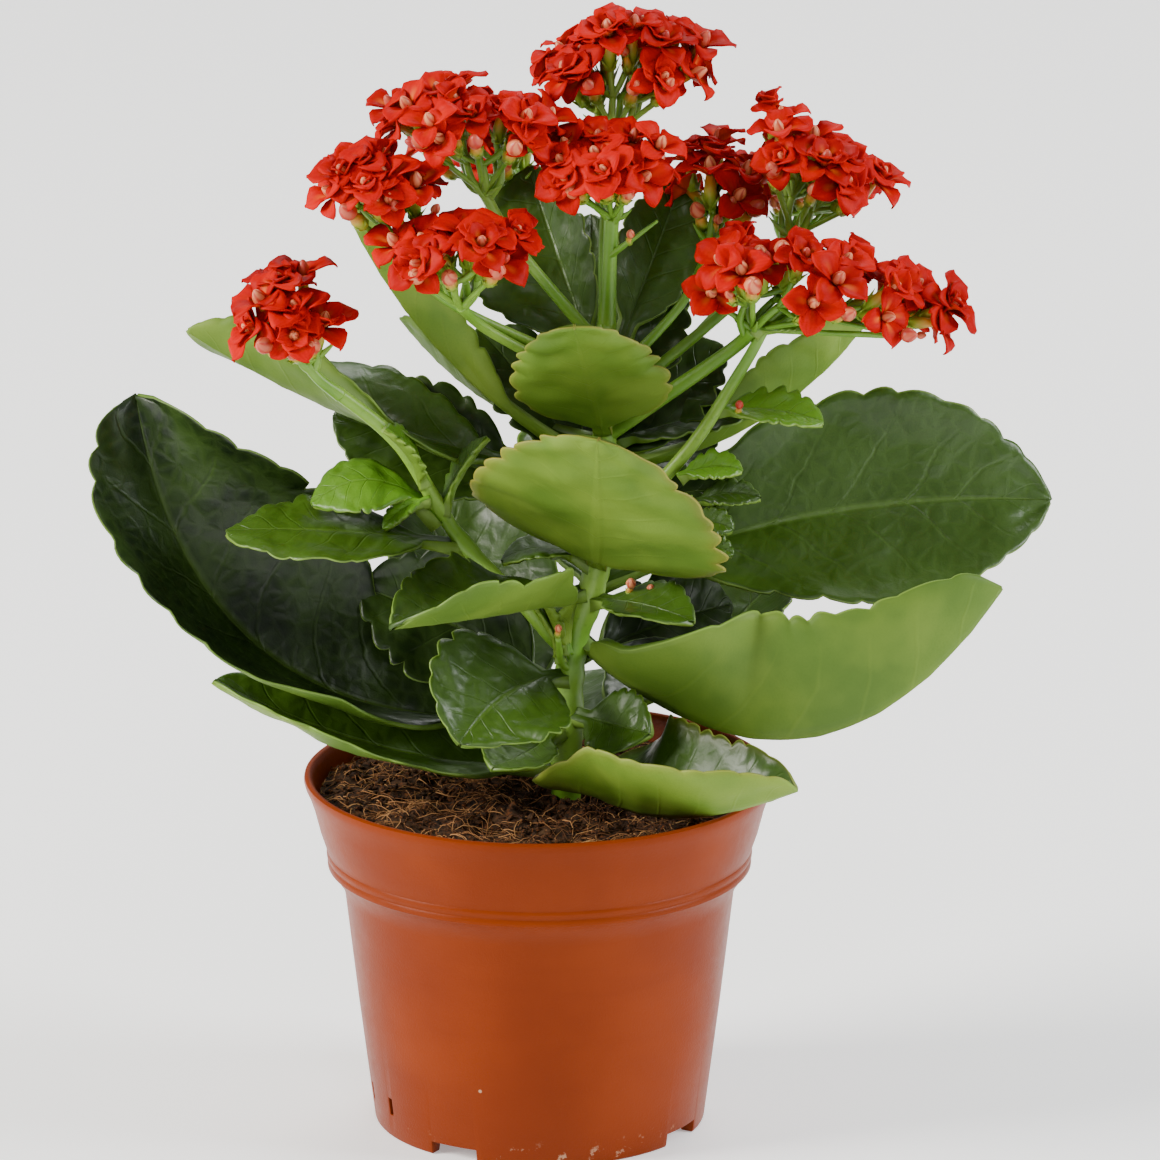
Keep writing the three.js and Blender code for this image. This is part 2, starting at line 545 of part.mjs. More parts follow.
function add(name, geometry, material) {
  const mesh = new THREE.Mesh(geometry, material);
  mesh.name = name;
  plant.add(mesh);
}

add("pot", potGeometry(), slots.pot);
add("soil", soilGeometry(), slots.soil);
for (const [name, chain] of Object.entries(STEMS)) {
  add(name, tube(chain, 8), slots.stem);
}
for (const [name, leaf] of Object.entries(LEAVES)) {
  add(name, leafGeometry(leaf), slots.leaf);
}
for (const [name, head] of Object.entries(HEADS)) {
  add(name, headGeometry(head), slots.flower);
}

const bounds = new THREE.Box3().setFromObject(plant);
const middle = bounds.getCenter(new THREE.Vector3());
plant.position.set(-middle.x, -middle.y, 0);

const part = new THREE.Group();
part.add(plant);
export default part;
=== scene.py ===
import math
import random

import bmesh
import bpy
from mathutils import Matrix, Vector, noise


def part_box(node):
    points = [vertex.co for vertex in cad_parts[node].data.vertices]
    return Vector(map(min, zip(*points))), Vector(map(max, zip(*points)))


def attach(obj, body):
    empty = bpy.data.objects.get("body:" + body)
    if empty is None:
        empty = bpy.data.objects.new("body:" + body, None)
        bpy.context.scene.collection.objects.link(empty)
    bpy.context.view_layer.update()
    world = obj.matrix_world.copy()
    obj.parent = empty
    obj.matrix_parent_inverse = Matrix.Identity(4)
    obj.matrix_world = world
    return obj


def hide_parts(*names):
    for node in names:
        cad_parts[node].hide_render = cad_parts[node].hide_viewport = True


# A flowering kalanchoe in a terracotta-coloured plastic pot. Metres, +Z up, seen from -Y.
# The plant is laid out in millimetres from the pot's axis and the surface that it stands on.
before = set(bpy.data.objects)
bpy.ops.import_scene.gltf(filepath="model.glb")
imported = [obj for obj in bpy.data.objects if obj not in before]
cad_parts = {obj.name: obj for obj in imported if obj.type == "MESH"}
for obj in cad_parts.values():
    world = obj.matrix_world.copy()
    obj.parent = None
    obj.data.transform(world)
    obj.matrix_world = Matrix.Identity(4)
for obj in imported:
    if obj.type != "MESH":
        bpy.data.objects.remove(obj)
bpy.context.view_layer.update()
bpy.ops.object.select_all(action="DESELECT")
print("frame loaded,", len(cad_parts), "nodes")

mm = 0.001
potLow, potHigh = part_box("pot")
potAxis = Vector(((potLow.x + potHigh.x) / 2, (potLow.y + potHigh.y) / 2, potLow.z))
up = Vector((0, 0, 1))


def toFrame(point):  # mm from the pot's axis -> metres in the frame
    return potAxis + Vector(point[:3]) * mm


def linear(hexText):
    values = [int(hexText[i:i + 2], 16) / 255 for i in (1, 3, 5)]
    return tuple(v / 12.92 if v <= 0.04045 else ((v + 0.055) / 1.055) ** 2.4 for v in values) + (1.0,)


def setInputs(tree, node, inputs):  # hex text is a colour, and a node is linked by its first output in use
    for name, value in inputs.items():
        if isinstance(value, str):
            value = linear(value)
        if isinstance(value, bpy.types.Node):
            value = next(output for output in value.outputs if output.enabled)
        if isinstance(value, bpy.types.NodeSocket):
            tree.links.new(value, node.inputs[name])
        else:
            node.inputs[name].default_value = value


def addNode(tree, kind, inputs=None, **settings):
    node = tree.nodes.new("ShaderNode" + kind)
    for name, value in settings.items():
        setattr(node, name, value)
    setInputs(tree, node, inputs or {})
    return node


def newMaterial(name, surface):
    material = bpy.data.materials.new(name)
    material.use_nodes = True
    tree = material.node_tree
    shader = tree.nodes["Principled BSDF"]
    setInputs(tree, shader, surface)
    return material, tree, shader


def layered(tree, color, layers):  # each layer's colour is laid over the ones below, by its share
    for share, over in layers:
        color = addNode(tree, "Mix", {0: share, 6: color, 7: over}, data_type="RGBA")
    return color


# settings that make a Map Range node a smooth step: input 0 is the value, 1 and 2 are the range that it
# comes from, 3 and 4 the one that it goes to
smooth = {"interpolation_type": "SMOOTHSTEP"}

leafLook = {  # colours, then the real sizes of the patterns in mm
    "deep": "#0D1B07",
    "fresh": "#3A5812",
    "young": "#5A881E",
    "vein": "#6C8C3C",
    "margin": "#7C9A40",
    "blush": "#B8501F",
    "under": "#5C7C26",
    "underPale": "#7E9636",
    "underDark": "#48641F",
    "veinCount": 7.0,
    "cellSize": 4.0,
    "puckerSize": 9.0,
    "underPuckerSize": 14.4,
    "cloudSize": 14.0,
    "underCloudSize": 22.0,
    "marginCloudSize": 6.0,
    "grainSize": 0.5,  # the skin's own cells are far finer, and are drawn this coarse so that they show
}


def bladeCoordinates(tree):
    # u runs from the petiole to the tip, m from the midrib (0) to the margin (1)
    split = addNode(tree, "SeparateXYZ", {"Vector": addNode(tree, "UVMap", uv_map="blade")})
    across = addNode(tree, "Math", {0: split.outputs["Y"], 1: 2.0, 2: -1.0}, operation="MULTIPLY_ADD")
    return split.outputs["X"], addNode(tree, "Math", {0: across}, operation="ABSOLUTE")


def veinPattern(tree, u, m, wobble):
    # the midrib, thinning to the tip, and side veins that slant forward and fade to the margin
    thinning = addNode(tree, "Math", {0: u, 1: 0.03}, operation="MULTIPLY")
    fromRib = addNode(tree, "Math", {0: m, 1: thinning}, operation="ADD")
    rib = addNode(tree, "MapRange", {0: fromRib, 1: 0.025, 2: 0.07, 3: 1.0, 4: 0.0}, **smooth)
    bowed = addNode(tree, "Math", {0: m, 1: 0.8}, operation="POWER")
    slant = addNode(tree, "Math", {0: bowed, 1: -0.2, 2: u}, operation="MULTIPLY_ADD")
    waver = addNode(tree, "Math", {0: wobble, 1: 0.5}, operation="MULTIPLY")
    count = addNode(tree, "Math", {0: slant, 1: leafLook["veinCount"], 2: waver}, operation="MULTIPLY_ADD")
    near = addNode(tree, "Math", {0: count, 1: 0.5}, operation="PINGPONG")
    side = addNode(tree, "MapRange", {0: near, 1: 0.005, 2: 0.06, 3: 1.0, 4: 0.0}, **smooth)
    inside = addNode(tree, "MapRange", {0: m, 1: 0.35, 2: 0.9, 3: 1.0, 4: 0.0}, **smooth)
    pastStalk = addNode(tree, "MapRange", {0: u, 1: 0.1, 2: 0.2}, **smooth)
    fade = addNode(tree, "Math", {0: inside, 1: pastStalk}, operation="MULTIPLY")
    return rib, addNode(tree, "Math", {0: side, 1: fade}, operation="MULTIPLY")


def netPattern(tree, place, wobble):
    # the fine net of veins between them: 1 in the middle of each mesh, 0 on the net itself
    shifted = addNode(tree, "VectorMath", {0: wobble, 1: (4 * mm, 4 * mm, 4 * mm), 2: place},
                      operation="MULTIPLY_ADD")
    cells = addNode(tree, "TexVoronoi", {"Vector": shifted, "Scale": 1 / (leafLook["cellSize"] * mm)},
                    feature="DISTANCE_TO_EDGE")
    return addNode(tree, "MapRange", {0: cells, 1: 0.0, 2: 0.3}, **smooth)


def makeLeafTop():
    # the upper side of a fleshy leaf: a waxy cuticle over dark green, so soft highlights that
    # break on the puckers between the veins
    material, tree, shader = newMaterial("waxyLeafUpper", {
        "IOR": 1.45, "Specular IOR Level": 0.36, "Coat Weight": 0.06, "Coat Roughness": 0.2})
    place = addNode(tree, "TexCoord").outputs["Object"]
    # the leaf's age together with painted light: a low number paints the whole upper side darker, for a leaf
    # in shade, and a high one lighter, for a lit leaf
    youthAndPaintedLight = addNode(tree, "Attribute", attribute_name="youthAndPaintedLight").outputs["Fac"]
    blush = addNode(tree, "Attribute", attribute_name="blush").outputs["Fac"]
    u, m = bladeCoordinates(tree)
    cloud = addNode(tree, "TexNoise", {
        "Vector": place, "Scale": 1 / (leafLook["cloudSize"] * mm), "Detail": 3.0})
    pucker = addNode(tree, "TexNoise", {"Vector": place, "Scale": 1 / (leafLook["puckerSize"] * mm)})
    grain = addNode(tree, "TexNoise", {"Vector": place, "Scale": 1 / (leafLook["grainSize"] * mm)})
    rib, side = veinPattern(tree, u, m, cloud)
    net = netPattern(tree, place, cloud)
    fresherAndLit = addNode(tree, "MapRange", {0: youthAndPaintedLight, 1: 0.0, 2: 0.75}, **smooth)
    youngerAndLit = addNode(tree, "MapRange", {0: youthAndPaintedLight, 1: 0.65, 2: 1.0}, **smooth)
    patches = addNode(tree, "MapRange", {0: cloud, 1: 0.35, 2: 0.7, 3: 0.0, 4: 0.3}, **smooth)
    meshes = addNode(tree, "Math", {0: net, 1: -0.05, 2: 0.05}, operation="MULTIPLY_ADD")
    specks = addNode(tree, "MapRange", {0: grain, 1: 0.45, 2: 0.7, 3: 0.0, 4: 0.12}, **smooth)
    sideVeins = addNode(tree, "Math", {0: side, 1: 0.035}, operation="MULTIPLY")
    midrib = addNode(tree, "Math", {0: rib, 1: 0.18}, operation="MULTIPLY")
    edge = addNode(tree, "MapRange", {0: m, 1: 0.98, 2: 0.995}, **smooth)
    edgeShare = addNode(tree, "Math", {0: edge, 1: 0.5}, operation="MULTIPLY")
    edgeColor = layered(tree, leafLook["margin"], [(blush, leafLook["blush"])])
    nearEdge = addNode(tree, "MapRange", {0: m, 1: 0.75, 2: 1.0, 3: 0.0, 4: 0.35}, **smooth)
    stain = addNode(tree, "Math", {0: blush, 1: nearEdge}, operation="MULTIPLY")
    color = layered(tree, leafLook["deep"], [
        (fresherAndLit, leafLook["fresh"]), (youngerAndLit, leafLook["young"]), (patches, leafLook["fresh"]),
        (meshes, leafLook["vein"]), (specks, leafLook["deep"]), (sideVeins, leafLook["vein"]),
        (midrib, leafLook["vein"]), (edgeShare, edgeColor), (stain, leafLook["blush"])])
    rough = addNode(tree, "Math", {0: cloud, 1: 0.25, 2: 0.27}, operation="MULTIPLY_ADD")
    groove = addNode(tree, "Math", {0: rib, 1: -0.25}, operation="MULTIPLY")
    hollow = addNode(tree, "Math", {0: side, 1: -0.12, 2: groove}, operation="MULTIPLY_ADD")
    skin = addNode(tree, "Math", {0: grain, 1: 0.04, 2: pucker}, operation="MULTIPLY_ADD")
    raised = addNode(tree, "Math", {0: net, 1: 0.09, 2: skin}, operation="MULTIPLY_ADD")
    height = addNode(tree, "Math", {0: raised, 1: hollow}, operation="ADD")
    relief = addNode(tree, "Bump", {"Height": height, "Distance": 0.8 * mm})
    setInputs(tree, shader, {"Base Color": color, "Roughness": rough, "Normal": relief})
    return material


def makeLeafUnder():
    # the underside of the same leaf: matte and a paler yellow-green, with the midrib standing proud
    material, tree, shader = newMaterial("matteLeafUnderside", {
        "Roughness": 0.56, "IOR": 1.4, "Specular IOR Level": 0.3})
    place = addNode(tree, "TexCoord").outputs["Object"]
    # how pale the underside is: its own paler green together with painted light, raised on undersides that
    # lie in shade
    pale = addNode(tree, "Attribute", attribute_name="pale").outputs["Fac"]
    blush = addNode(tree, "Attribute", attribute_name="blush").outputs["Fac"]
    u, m = bladeCoordinates(tree)
    cloud = addNode(tree, "TexNoise", {
        "Vector": place, "Scale": 1 / (leafLook["underCloudSize"] * mm), "Detail": 3.0})
    pucker = addNode(tree, "TexNoise", {"Vector": place, "Scale": 1 / (leafLook["underPuckerSize"] * mm)})
    grain = addNode(tree, "TexNoise", {"Vector": place, "Scale": 1 / (leafLook["grainSize"] * mm)})
    rib, side = veinPattern(tree, u, m, cloud)
    lighter = addNode(tree, "Math", {0: pale, 1: 0.6, 2: 0.4}, operation="MULTIPLY_ADD")
    cloudy = addNode(tree, "MapRange", {0: cloud, 1: 0.38, 2: 0.72, 3: 0.0, 4: 0.55}, **smooth)
    patches = addNode(tree, "Math", {0: cloudy, 1: lighter}, operation="MULTIPLY")
    shaded = addNode(tree, "MapRange", {0: cloud, 1: 0.3, 2: 0.48, 3: 0.55, 4: 0.0}, **smooth)
    specks = addNode(tree, "MapRange", {0: grain, 1: 0.42, 2: 0.7, 3: 0.0, 4: 0.12}, **smooth)
    puckered = addNode(tree, "MapRange", {0: pucker, 1: 0.45, 2: 0.65, 3: 0.0, 4: 0.4}, **smooth)
    streaks = addNode(tree, "Math", {0: puckered, 1: lighter}, operation="MULTIPLY")
    sideVeins = addNode(tree, "Math", {0: side, 1: 0.08}, operation="MULTIPLY")
    midrib = addNode(tree, "Math", {0: rib, 1: 0.12}, operation="MULTIPLY")
    edge = addNode(tree, "MapRange", {0: m, 1: 0.975, 2: 0.995}, **smooth)
    edgeShare = addNode(tree, "Math", {0: edge, 1: 0.7}, operation="MULTIPLY")
    edgeColor = layered(tree, leafLook["margin"], [(blush, leafLook["blush"])])
    nearEdge = addNode(tree, "MapRange", {0: m, 1: 0.85, 2: 1.0, 3: 0.0, 4: 0.5}, **smooth)
    stain = addNode(tree, "Math", {0: blush, 1: nearEdge}, operation="MULTIPLY")
    color = layered(tree, leafLook["underDark"], [
        (pale, leafLook["under"]), (patches, leafLook["underPale"]), (shaded, leafLook["underDark"]),
        (specks, leafLook["fresh"]), (streaks, leafLook["underPale"]), (sideVeins, leafLook["underPale"]),
        (midrib, leafLook["underPale"]), (edgeShare, edgeColor), (stain, leafLook["blush"])])
    ridge = addNode(tree, "Math", {0: rib, 1: 0.3}, operation="MULTIPLY")
    raised = addNode(tree, "Math", {0: side, 1: 0.12, 2: ridge}, operation="MULTIPLY_ADD")
    skin = addNode(tree, "Math", {0: grain, 1: 0.08, 2: pucker}, operation="MULTIPLY_ADD")
    height = addNode(tree, "Math", {0: skin, 1: raised}, operation="ADD")
    relief = addNode(tree, "Bump", {"Height": height, "Distance": 0.4 * mm})
    setInputs(tree, shader, {"Base Color": color, "Normal": relief})
    return material


def makeLeafMargin():
    # the cut edge of the blade, where the two skins meet: thin, pale and smooth
    material, tree, shader = newMaterial("paleLeafMargin", {"Roughness": 0.45, "Specular IOR Level": 0.35})
    place = addNode(tree, "TexCoord").outputs["Object"]
    # the same number for age and painted light as on the upper side
    youthAndPaintedLight = addNode(tree, "Attribute", attribute_name="youthAndPaintedLight").outputs["Fac"]
    blush = addNode(tree, "Attribute", attribute_name="blush").outputs["Fac"]
    cloud = addNode(tree, "TexNoise", {"Vector": place, "Scale": 1 / (leafLook["marginCloudSize"] * mm)})
    youngerAndLit = addNode(tree, "Math", {0: youthAndPaintedLight, 1: 1.2, 2: 0.5}, operation="MULTIPLY_ADD")
    share = addNode(tree, "Math", {0: cloud, 1: youngerAndLit}, operation="MULTIPLY")
    color = layered(tree, leafLook["fresh"], [(share, leafLook["margin"]), (blush, leafLook["blush"])])
    setInputs(tree, shader, {"Base Color": color})
    return material


stemLook = {  # colours, then pattern sizes in mm
    "green": "#5E8A26",
    "pale": "#86AC42",
    "shade": "#456B1E",
    "stretchSize": 26.0,
    "grainSize": 1.2,
}


def makeStemSkin():
    # a fleshy green stem: smooth skin, satin rather than shiny, with paler and darker stretches
    material, tree, shader = newMaterial("fleshyStemSkin", {"Roughness": 0.4, "Specular IOR Level": 0.4})
    place = addNode(tree, "TexCoord").outputs["Object"]
    stretch = addNode(tree, "TexNoise", {"Vector": place, "Scale": 1 / (stemLook["stretchSize"] * mm)})
    grain = addNode(tree, "TexNoise", {
        "Vector": place, "Scale": 1 / (stemLook["grainSize"] * mm), "Detail": 3.0})
    paler = addNode(tree, "MapRange", {0: stretch, 1: 0.38, 2: 0.65}, **smooth)
    darker = addNode(tree, "MapRange", {0: grain, 1: 0.55, 2: 0.75, 3: 0.0, 4: 0.3}, **smooth)
    color = layered(tree, stemLook["green"], [(paler, stemLook["pale"]), (darker, stemLook["shade"])])
    relief = addNode(tree, "Bump", {"Height": grain, "Distance": 0.08 * mm})
    setInputs(tree, shader, {"Base Color": color, "Normal": relief})
    return material


flowerLook = {  # colours, then pattern sizes in mm
    "red": "#B80000",
    "deepRed": "#880001",
    "warm": "#CC1800",
    "streak": "#E8782A",
    "backOrange": "#C83A0C",
    "budPale": "#DC8A5C",
    "budRed": "#A8201A",
    "tubeGreen": "#8AA430",
    "tubeWarm": "#D0802A",
    "cloudSize": 5.0,
    "flameSize": 16.0,
    "tubeCloudSize": 4.0,
    "veinScale": 1.6,  # lengthwise veins about 1.2 mm apart across a petal 6 mm wide
}


def makePetal():
    # a soft satin petal: saturated red, warmer towards the throat, with faint lengthwise veins
    material, tree, shader = newMaterial("satinRedPetal", {"Roughness": 0.5, "Specular IOR Level": 0.06})
    place = addNode(tree, "TexCoord").outputs["Object"]
    shade = addNode(tree, "Attribute", attribute_name="shade").outputs["Fac"]
    uv = addNode(tree, "UVMap", uv_map="blade")
    split = addNode(tree, "SeparateXYZ", {"Vector": uv})
    stripe = addNode(tree, "TexWave", {
        "Vector": uv, "Scale": flowerLook["veinScale"], "Distortion": 1.5, "Detail": 1.0},
        bands_direction="Y")
    lines = addNode(tree, "Math", {0: stripe.outputs["Fac"], 1: 0.2}, operation="MULTIPLY")
    cloud = addNode(tree, "TexNoise", {"Vector": place, "Scale": 1 / (flowerLook["cloudSize"] * mm)})
    warmer = addNode(tree, "MapRange", {0: cloud, 1: 0.4, 2: 0.75, 3: 0.0, 4: 0.45}, **smooth)
    fromSide = addNode(tree, "Math", {0: split.outputs["Y"], 1: 0.5}, operation="PINGPONG")
    middle = addNode(tree, "MapRange", {0: fromSide, 1: 0.3, 2: 0.5}, **smooth)
    lowDown = addNode(tree, "MapRange", {0: split.outputs["X"], 1: 0.05, 2: 0.6, 3: 1.0, 4: 0.0}, **smooth)
    throat = addNode(tree, "Math", {0: lowDown, 1: middle}, operation="MULTIPLY")
    flame = addNode(tree, "TexNoise", {"Vector": place, "Scale": 1 / (flowerLook["flameSize"] * mm)})
    some = addNode(tree, "MapRange", {0: flame, 1: 0.45, 2: 0.62, 3: 0.1, 4: 0.8}, **smooth)
    flamed = addNode(tree, "Math", {0: throat, 1: some}, operation="MULTIPLY")
    color = layered(tree, flowerLook["red"], [
        (shade, flowerLook["deepRed"]), (lines, flowerLook["deepRed"]), (warmer, flowerLook["warm"]),
        (flamed, flowerLook["streak"])])
    setInputs(tree, shader, {"Base Color": color})
    return material


def makePetalBack():
    # the back of the petal, a lighter orange-red that shows where a petal curls or stands up
    material, tree, shader = newMaterial("orangePetalBack", {"Roughness": 0.6, "Specular IOR Level": 0.08})
    split = addNode(tree, "SeparateXYZ", {"Vector": addNode(tree, "UVMap", uv_map="blade")})
    toTip = addNode(tree, "MapRange", {0: split.outputs["X"], 1: 0.15, 2: 0.8}, **smooth)
    color = layered(tree, flowerLook["backOrange"], [(toTip, flowerLook["red"])])
    setInputs(tree, shader, {"Base Color": color})
    return material


def makeBud():
    # petals still rolled shut: pale salmon with red lines where they overlap
    material, tree, shader = newMaterial("rolledSalmonBud", {"Roughness": 0.42, "Specular IOR Level": 0.4})
    shade = addNode(tree, "Attribute", attribute_name="shade").outputs["Fac"]
    split = addNode(tree, "SeparateXYZ", {"Vector": addNode(tree, "UVMap", uv_map="blade")})
    twisted = addNode(tree, "Math", {0: split.outputs["Y"], 1: 0.35, 2: split.outputs["X"]},
                      operation="MULTIPLY_ADD")
    turns = addNode(tree, "Math", {0: twisted, 1: 4.0}, operation="MULTIPLY")
    near = addNode(tree, "Math", {0: turns, 1: 0.5}, operation="PINGPONG")
    line = addNode(tree, "MapRange", {0: near, 1: 0.03, 2: 0.3, 3: 1.0, 4: 0.0}, **smooth)
    seam = addNode(tree, "Math", {0: line, 1: 0.8}, operation="MULTIPLY")
    color = layered(tree, flowerLook["budPale"], [
        (shade, flowerLook["budRed"]), (seam, flowerLook["budRed"])])
    setInputs(tree, shader, {"Base Color": color})
    return material


def makeCalyx():
    # the flower's tube and sepals: fleshy yellow-green, warming to orange towards the petals
    material, tree, shader = newMaterial("fleshyCalyx", {"Roughness": 0.45, "Specular IOR Level": 0.35})
    place = addNode(tree, "TexCoord").outputs["Object"]
    split = addNode(tree, "SeparateXYZ", {"Vector": addNode(tree, "UVMap", uv_map="blade")})
    cloud = addNode(tree, "TexNoise", {"Vector": place, "Scale": 1 / (flowerLook["tubeCloudSize"] * mm)})
    paler = addNode(tree, "MapRange", {0: cloud, 1: 0.4, 2: 0.7, 3: 0.0, 4: 0.6}, **smooth)
    warm = addNode(tree, "MapRange", {0: split.outputs["Y"], 1: 0.62, 2: 1.0, 3: 0.0, 4: 0.85}, **smooth)
    color = layered(tree, flowerLook["tubeGreen"], [
        (paler, stemLook["pale"]), (warm, flowerLook["tubeWarm"])])
    setInputs(tree, shader, {"Base Color": color})
    return material


potLook = {  # colours, then pattern sizes in mm
    "clay": "#702802",
    "sun": "#7A2E04",
    "shade": "#672202",
    "lime": "#C9A684",
    "flowSize": 60.0,
    "cloudSize": 34.0,
    "grainSize": 0.45,  # a moulded surface is finer, and is drawn this coarse so that it shows
    "scuffSize": 3.2,
    "fleckSpacing": 17.0,
    "limeHeight": 7.0,
}


def makePotPlastic():
    # polypropylene, injection moulded and thin: even terracotta orange with a satin skin, faint
    # flow marks round the wall, scuffs and a little lime near the foot
    material, tree, shader = newMaterial("mouldedPolypropylene", {"IOR": 1.49, "Specular IOR Level": 0.1})
    place = addNode(tree, "TexCoord").outputs["Object"]
    height = addNode(tree, "SeparateXYZ", {"Vector": place}).outputs["Z"]
    flow = addNode(tree, "Mapping", {"Vector": place, "Scale": (1.0, 1.0, 7.0)})
    bands = addNode(tree, "TexNoise", {
        "Vector": flow, "Scale": 1 / (potLook["flowSize"] * mm), "Detail": 3.0})
    cloud = addNode(tree, "TexNoise", {
        "Vector": place, "Scale": 1 / (potLook["cloudSize"] * mm), "Detail": 3.0})
    grain = addNode(tree, "TexNoise", {"Vector": place, "Scale": 1 / (potLook["grainSize"] * mm)})
    scuff = addNode(tree, "TexNoise", {
        "Vector": place, "Scale": 1 / (potLook["scuffSize"] * mm), "Detail": 4.0, "Roughness": 0.7})
    fleck = addNode(tree, "TexVoronoi", {"Vector": place, "Scale": 1 / (potLook["fleckSpacing"] * mm)})
    sunny = addNode(tree, "MapRange", {0: cloud, 1: 0.35, 2: 0.7}, **smooth)
    banded = addNode(tree, "MapRange", {0: bands, 1: 0.45, 2: 0.75, 3: 0.0, 4: 0.25}, **smooth)
    worn = addNode(tree, "MapRange", {0: scuff, 1: 0.61, 2: 0.69}, **smooth)
    nearFoot = addNode(tree, "MapRange", {0: height, 1: 0.0, 2: potLook["limeHeight"] * mm, 3: 0.7, 4: 0.0},
                       **smooth)
    lime = addNode(tree, "Math", {0: worn, 1: nearFoot}, operation="MULTIPLY")
    dots = addNode(tree, "MapRange", {0: fleck, 1: 0.018, 2: 0.03, 3: 0.6, 4: 0.0}, **smooth)
    color = layered(tree, potLook["clay"], [
        (sunny, potLook["sun"]), (banded, potLook["shade"]), (lime, potLook["lime"]),
        (dots, potLook["lime"])])
    rough = addNode(tree, "Math", {0: scuff, 1: 0.2, 2: 0.28}, operation="MULTIPLY_ADD")
    uneven = addNode(tree, "Math", {0: bands, 1: 2.0, 2: grain}, operation="MULTIPLY_ADD")
    relief = addNode(tree, "Bump", {"Height": uneven, "Distance": 0.05 * mm})
    setInputs(tree, shader, {"Base Color": color, "Roughness": rough, "Normal": relief})
    return material


soilLook = {  # colours, then how rusty and how coarse in mm the bed and its loose crumbs are
    "dark": "#180F0A",
    "brown": "#45301F",
    "rust": "#744220",
    "tan": "#B08252",
    "bed": {"rusty": 0.6, "spacing": 3.0},
    "crumb": {"rusty": 0.9, "spacing": 1.5},
}


def makeSoil(name, form):
    # damp coir compost: near black with rusty crumbs, wholly matte
    material, tree, shader = newMaterial(name, {"Roughness": 0.92, "Specular IOR Level": 0.15})
    place = addNode(tree, "TexCoord").outputs["Object"]
    crumb = addNode(tree, "TexNoise", {
        "Vector": place, "Scale": 1 / (form["spacing"] * mm), "Detail": 4.0, "Roughness": 0.7})
    fleck = addNode(tree, "TexNoise", {"Vector": place, "Scale": 1 / (form["spacing"] * 0.4 * mm)})
    browner = addNode(tree, "MapRange", {0: crumb, 1: 0.35, 2: 0.65}, **smooth)
    rusty = addNode(tree, "MapRange", {0: fleck, 1: 0.5, 2: 0.75, 3: 0.0, 4: form["rusty"]}, **smooth)
    color = layered(tree, soilLook["dark"], [(browner, soilLook["brown"]), (rusty, soilLook["rust"])])
    relief = addNode(tree, "Bump", {"Height": crumb, "Distance": 0.8 * mm})
    setInputs(tree, shader, {"Base Color": color, "Normal": relief})
    return material


def makeFibre():
    # coir fibre: dry, stiff and orange-brown, each strand its own tone
    material, tree, shader = newMaterial("coirFibre", {"Roughness": 0.75, "Specular IOR Level": 0.2})
    shade = addNode(tree, "Attribute", attribute_name="shade").outputs["Fac"]
    # the strands of lowest tone are drawn towards the dark colour
    darkening = addNode(tree, "MapRange", {0: shade, 1: 0.0, 2: 0.45, 3: 0.85, 4: 0.0}, **smooth)
    color = layered(tree, soilLook["rust"], [(shade, soilLook["tan"]), (darkening, soilLook["dark"])])
    setInputs(tree, shader, {"Base Color": color})
    return material


leafTop = makeLeafTop()
leafUnder = makeLeafUnder()
leafMargin = makeLeafMargin()
stemSkin = makeStemSkin()
petalFront = makePetal()
petalBack = makePetalBack()
budSkin = makeBud()
calyxSkin = makeCalyx()
potPlastic = makePotPlastic()
soilSurface = makeSoil("dampCoirCompost", soilLook["bed"])
soilCrumb = makeSoil("coirCrumb", soilLook["crumb"])
coirFibre = makeFibre()
print("materials made")


def finishPiece(piece, name, replaced=None):  # its names and the node it replaces
    piece.name = name
    piece.data.name = name
    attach(piece, "root")
    if replaced:
        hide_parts(replaced)
    bpy.ops.object.select_all(action="DESELECT")


def selectOnly(*pieces):
    bpy.ops.object.select_all(action="DESELECT")
    for piece in pieces:
        piece.select_set(True)
    bpy.context.view_layer.objects.active = pieces[0]


def applyModifier(piece, kind, **settings):
    selectOnly(piece)
    modifier = piece.modifiers.new(kind.lower(), kind)
    for name, value in settings.items():
        setattr(modifier, name, value)
    bpy.ops.object.modifier_apply(modifier=modifier.name)


def setConstant(mesh, name, value):  # one number for the whole piece, read by its material
    layer = mesh.attributes.new(name, "FLOAT", "POINT")
    layer.data.foreach_set("value", [value] * len(mesh.vertices))


def smoothPath(points, steps):  # a smooth line through the given points, each with its radius
    rows = [points[0]] + list(points) + [points[-1]]
    path = []
    for i in range(1, len(rows) - 2):
        for k in range(steps):
            t = k / steps
            values = []
            for a, b, c, d in zip(rows[i - 1], rows[i], rows[i + 1], rows[i + 2]):
                values.append(0.5 * (2 * b + (c - a) * t + (2 * a - 5 * b + 4 * c - d) * t ** 2
                                     + (3 * b - a - 3 * c + d) * t ** 3))
            path.append(values)
    path.append(list(points[-1]))
    return path


def addTube(bm, path, sides):  # a round closed tube along [x, y, z, radius] points in mm
    rings = []
    side = Vector((1, 0, 0))
    for i, row in enumerate(path):
        along = Vector(path[min(i + 1, len(path) - 1)][:3]) - Vector(path[max(i - 1, 0)][:3])
        along.normalize()
        side = side - along * side.dot(along)
        if side.length < 0.05:
            side = along.orthogonal()
        side.normalize()
        across = along.cross(side)
        ring = []
        for k in range(sides):
            turn = 2 * math.pi * k / sides
            out = side * math.cos(turn) + across * math.sin(turn)
            ring.append(bm.verts.new(toFrame(Vector(row[:3]) + out * row[3])))
        rings.append(ring)
    faces = []
    for low, high in zip(rings, rings[1:]):
        for k in range(sides):
            n = (k + 1) % sides
            faces.append(bm.faces.new((low[k], low[n], high[n], high[k])))
    faces.append(bm.faces.new(list(reversed(rings[0]))))
    faces.append(bm.faces.new(rings[-1]))
    for face in faces:
        face.smooth = True


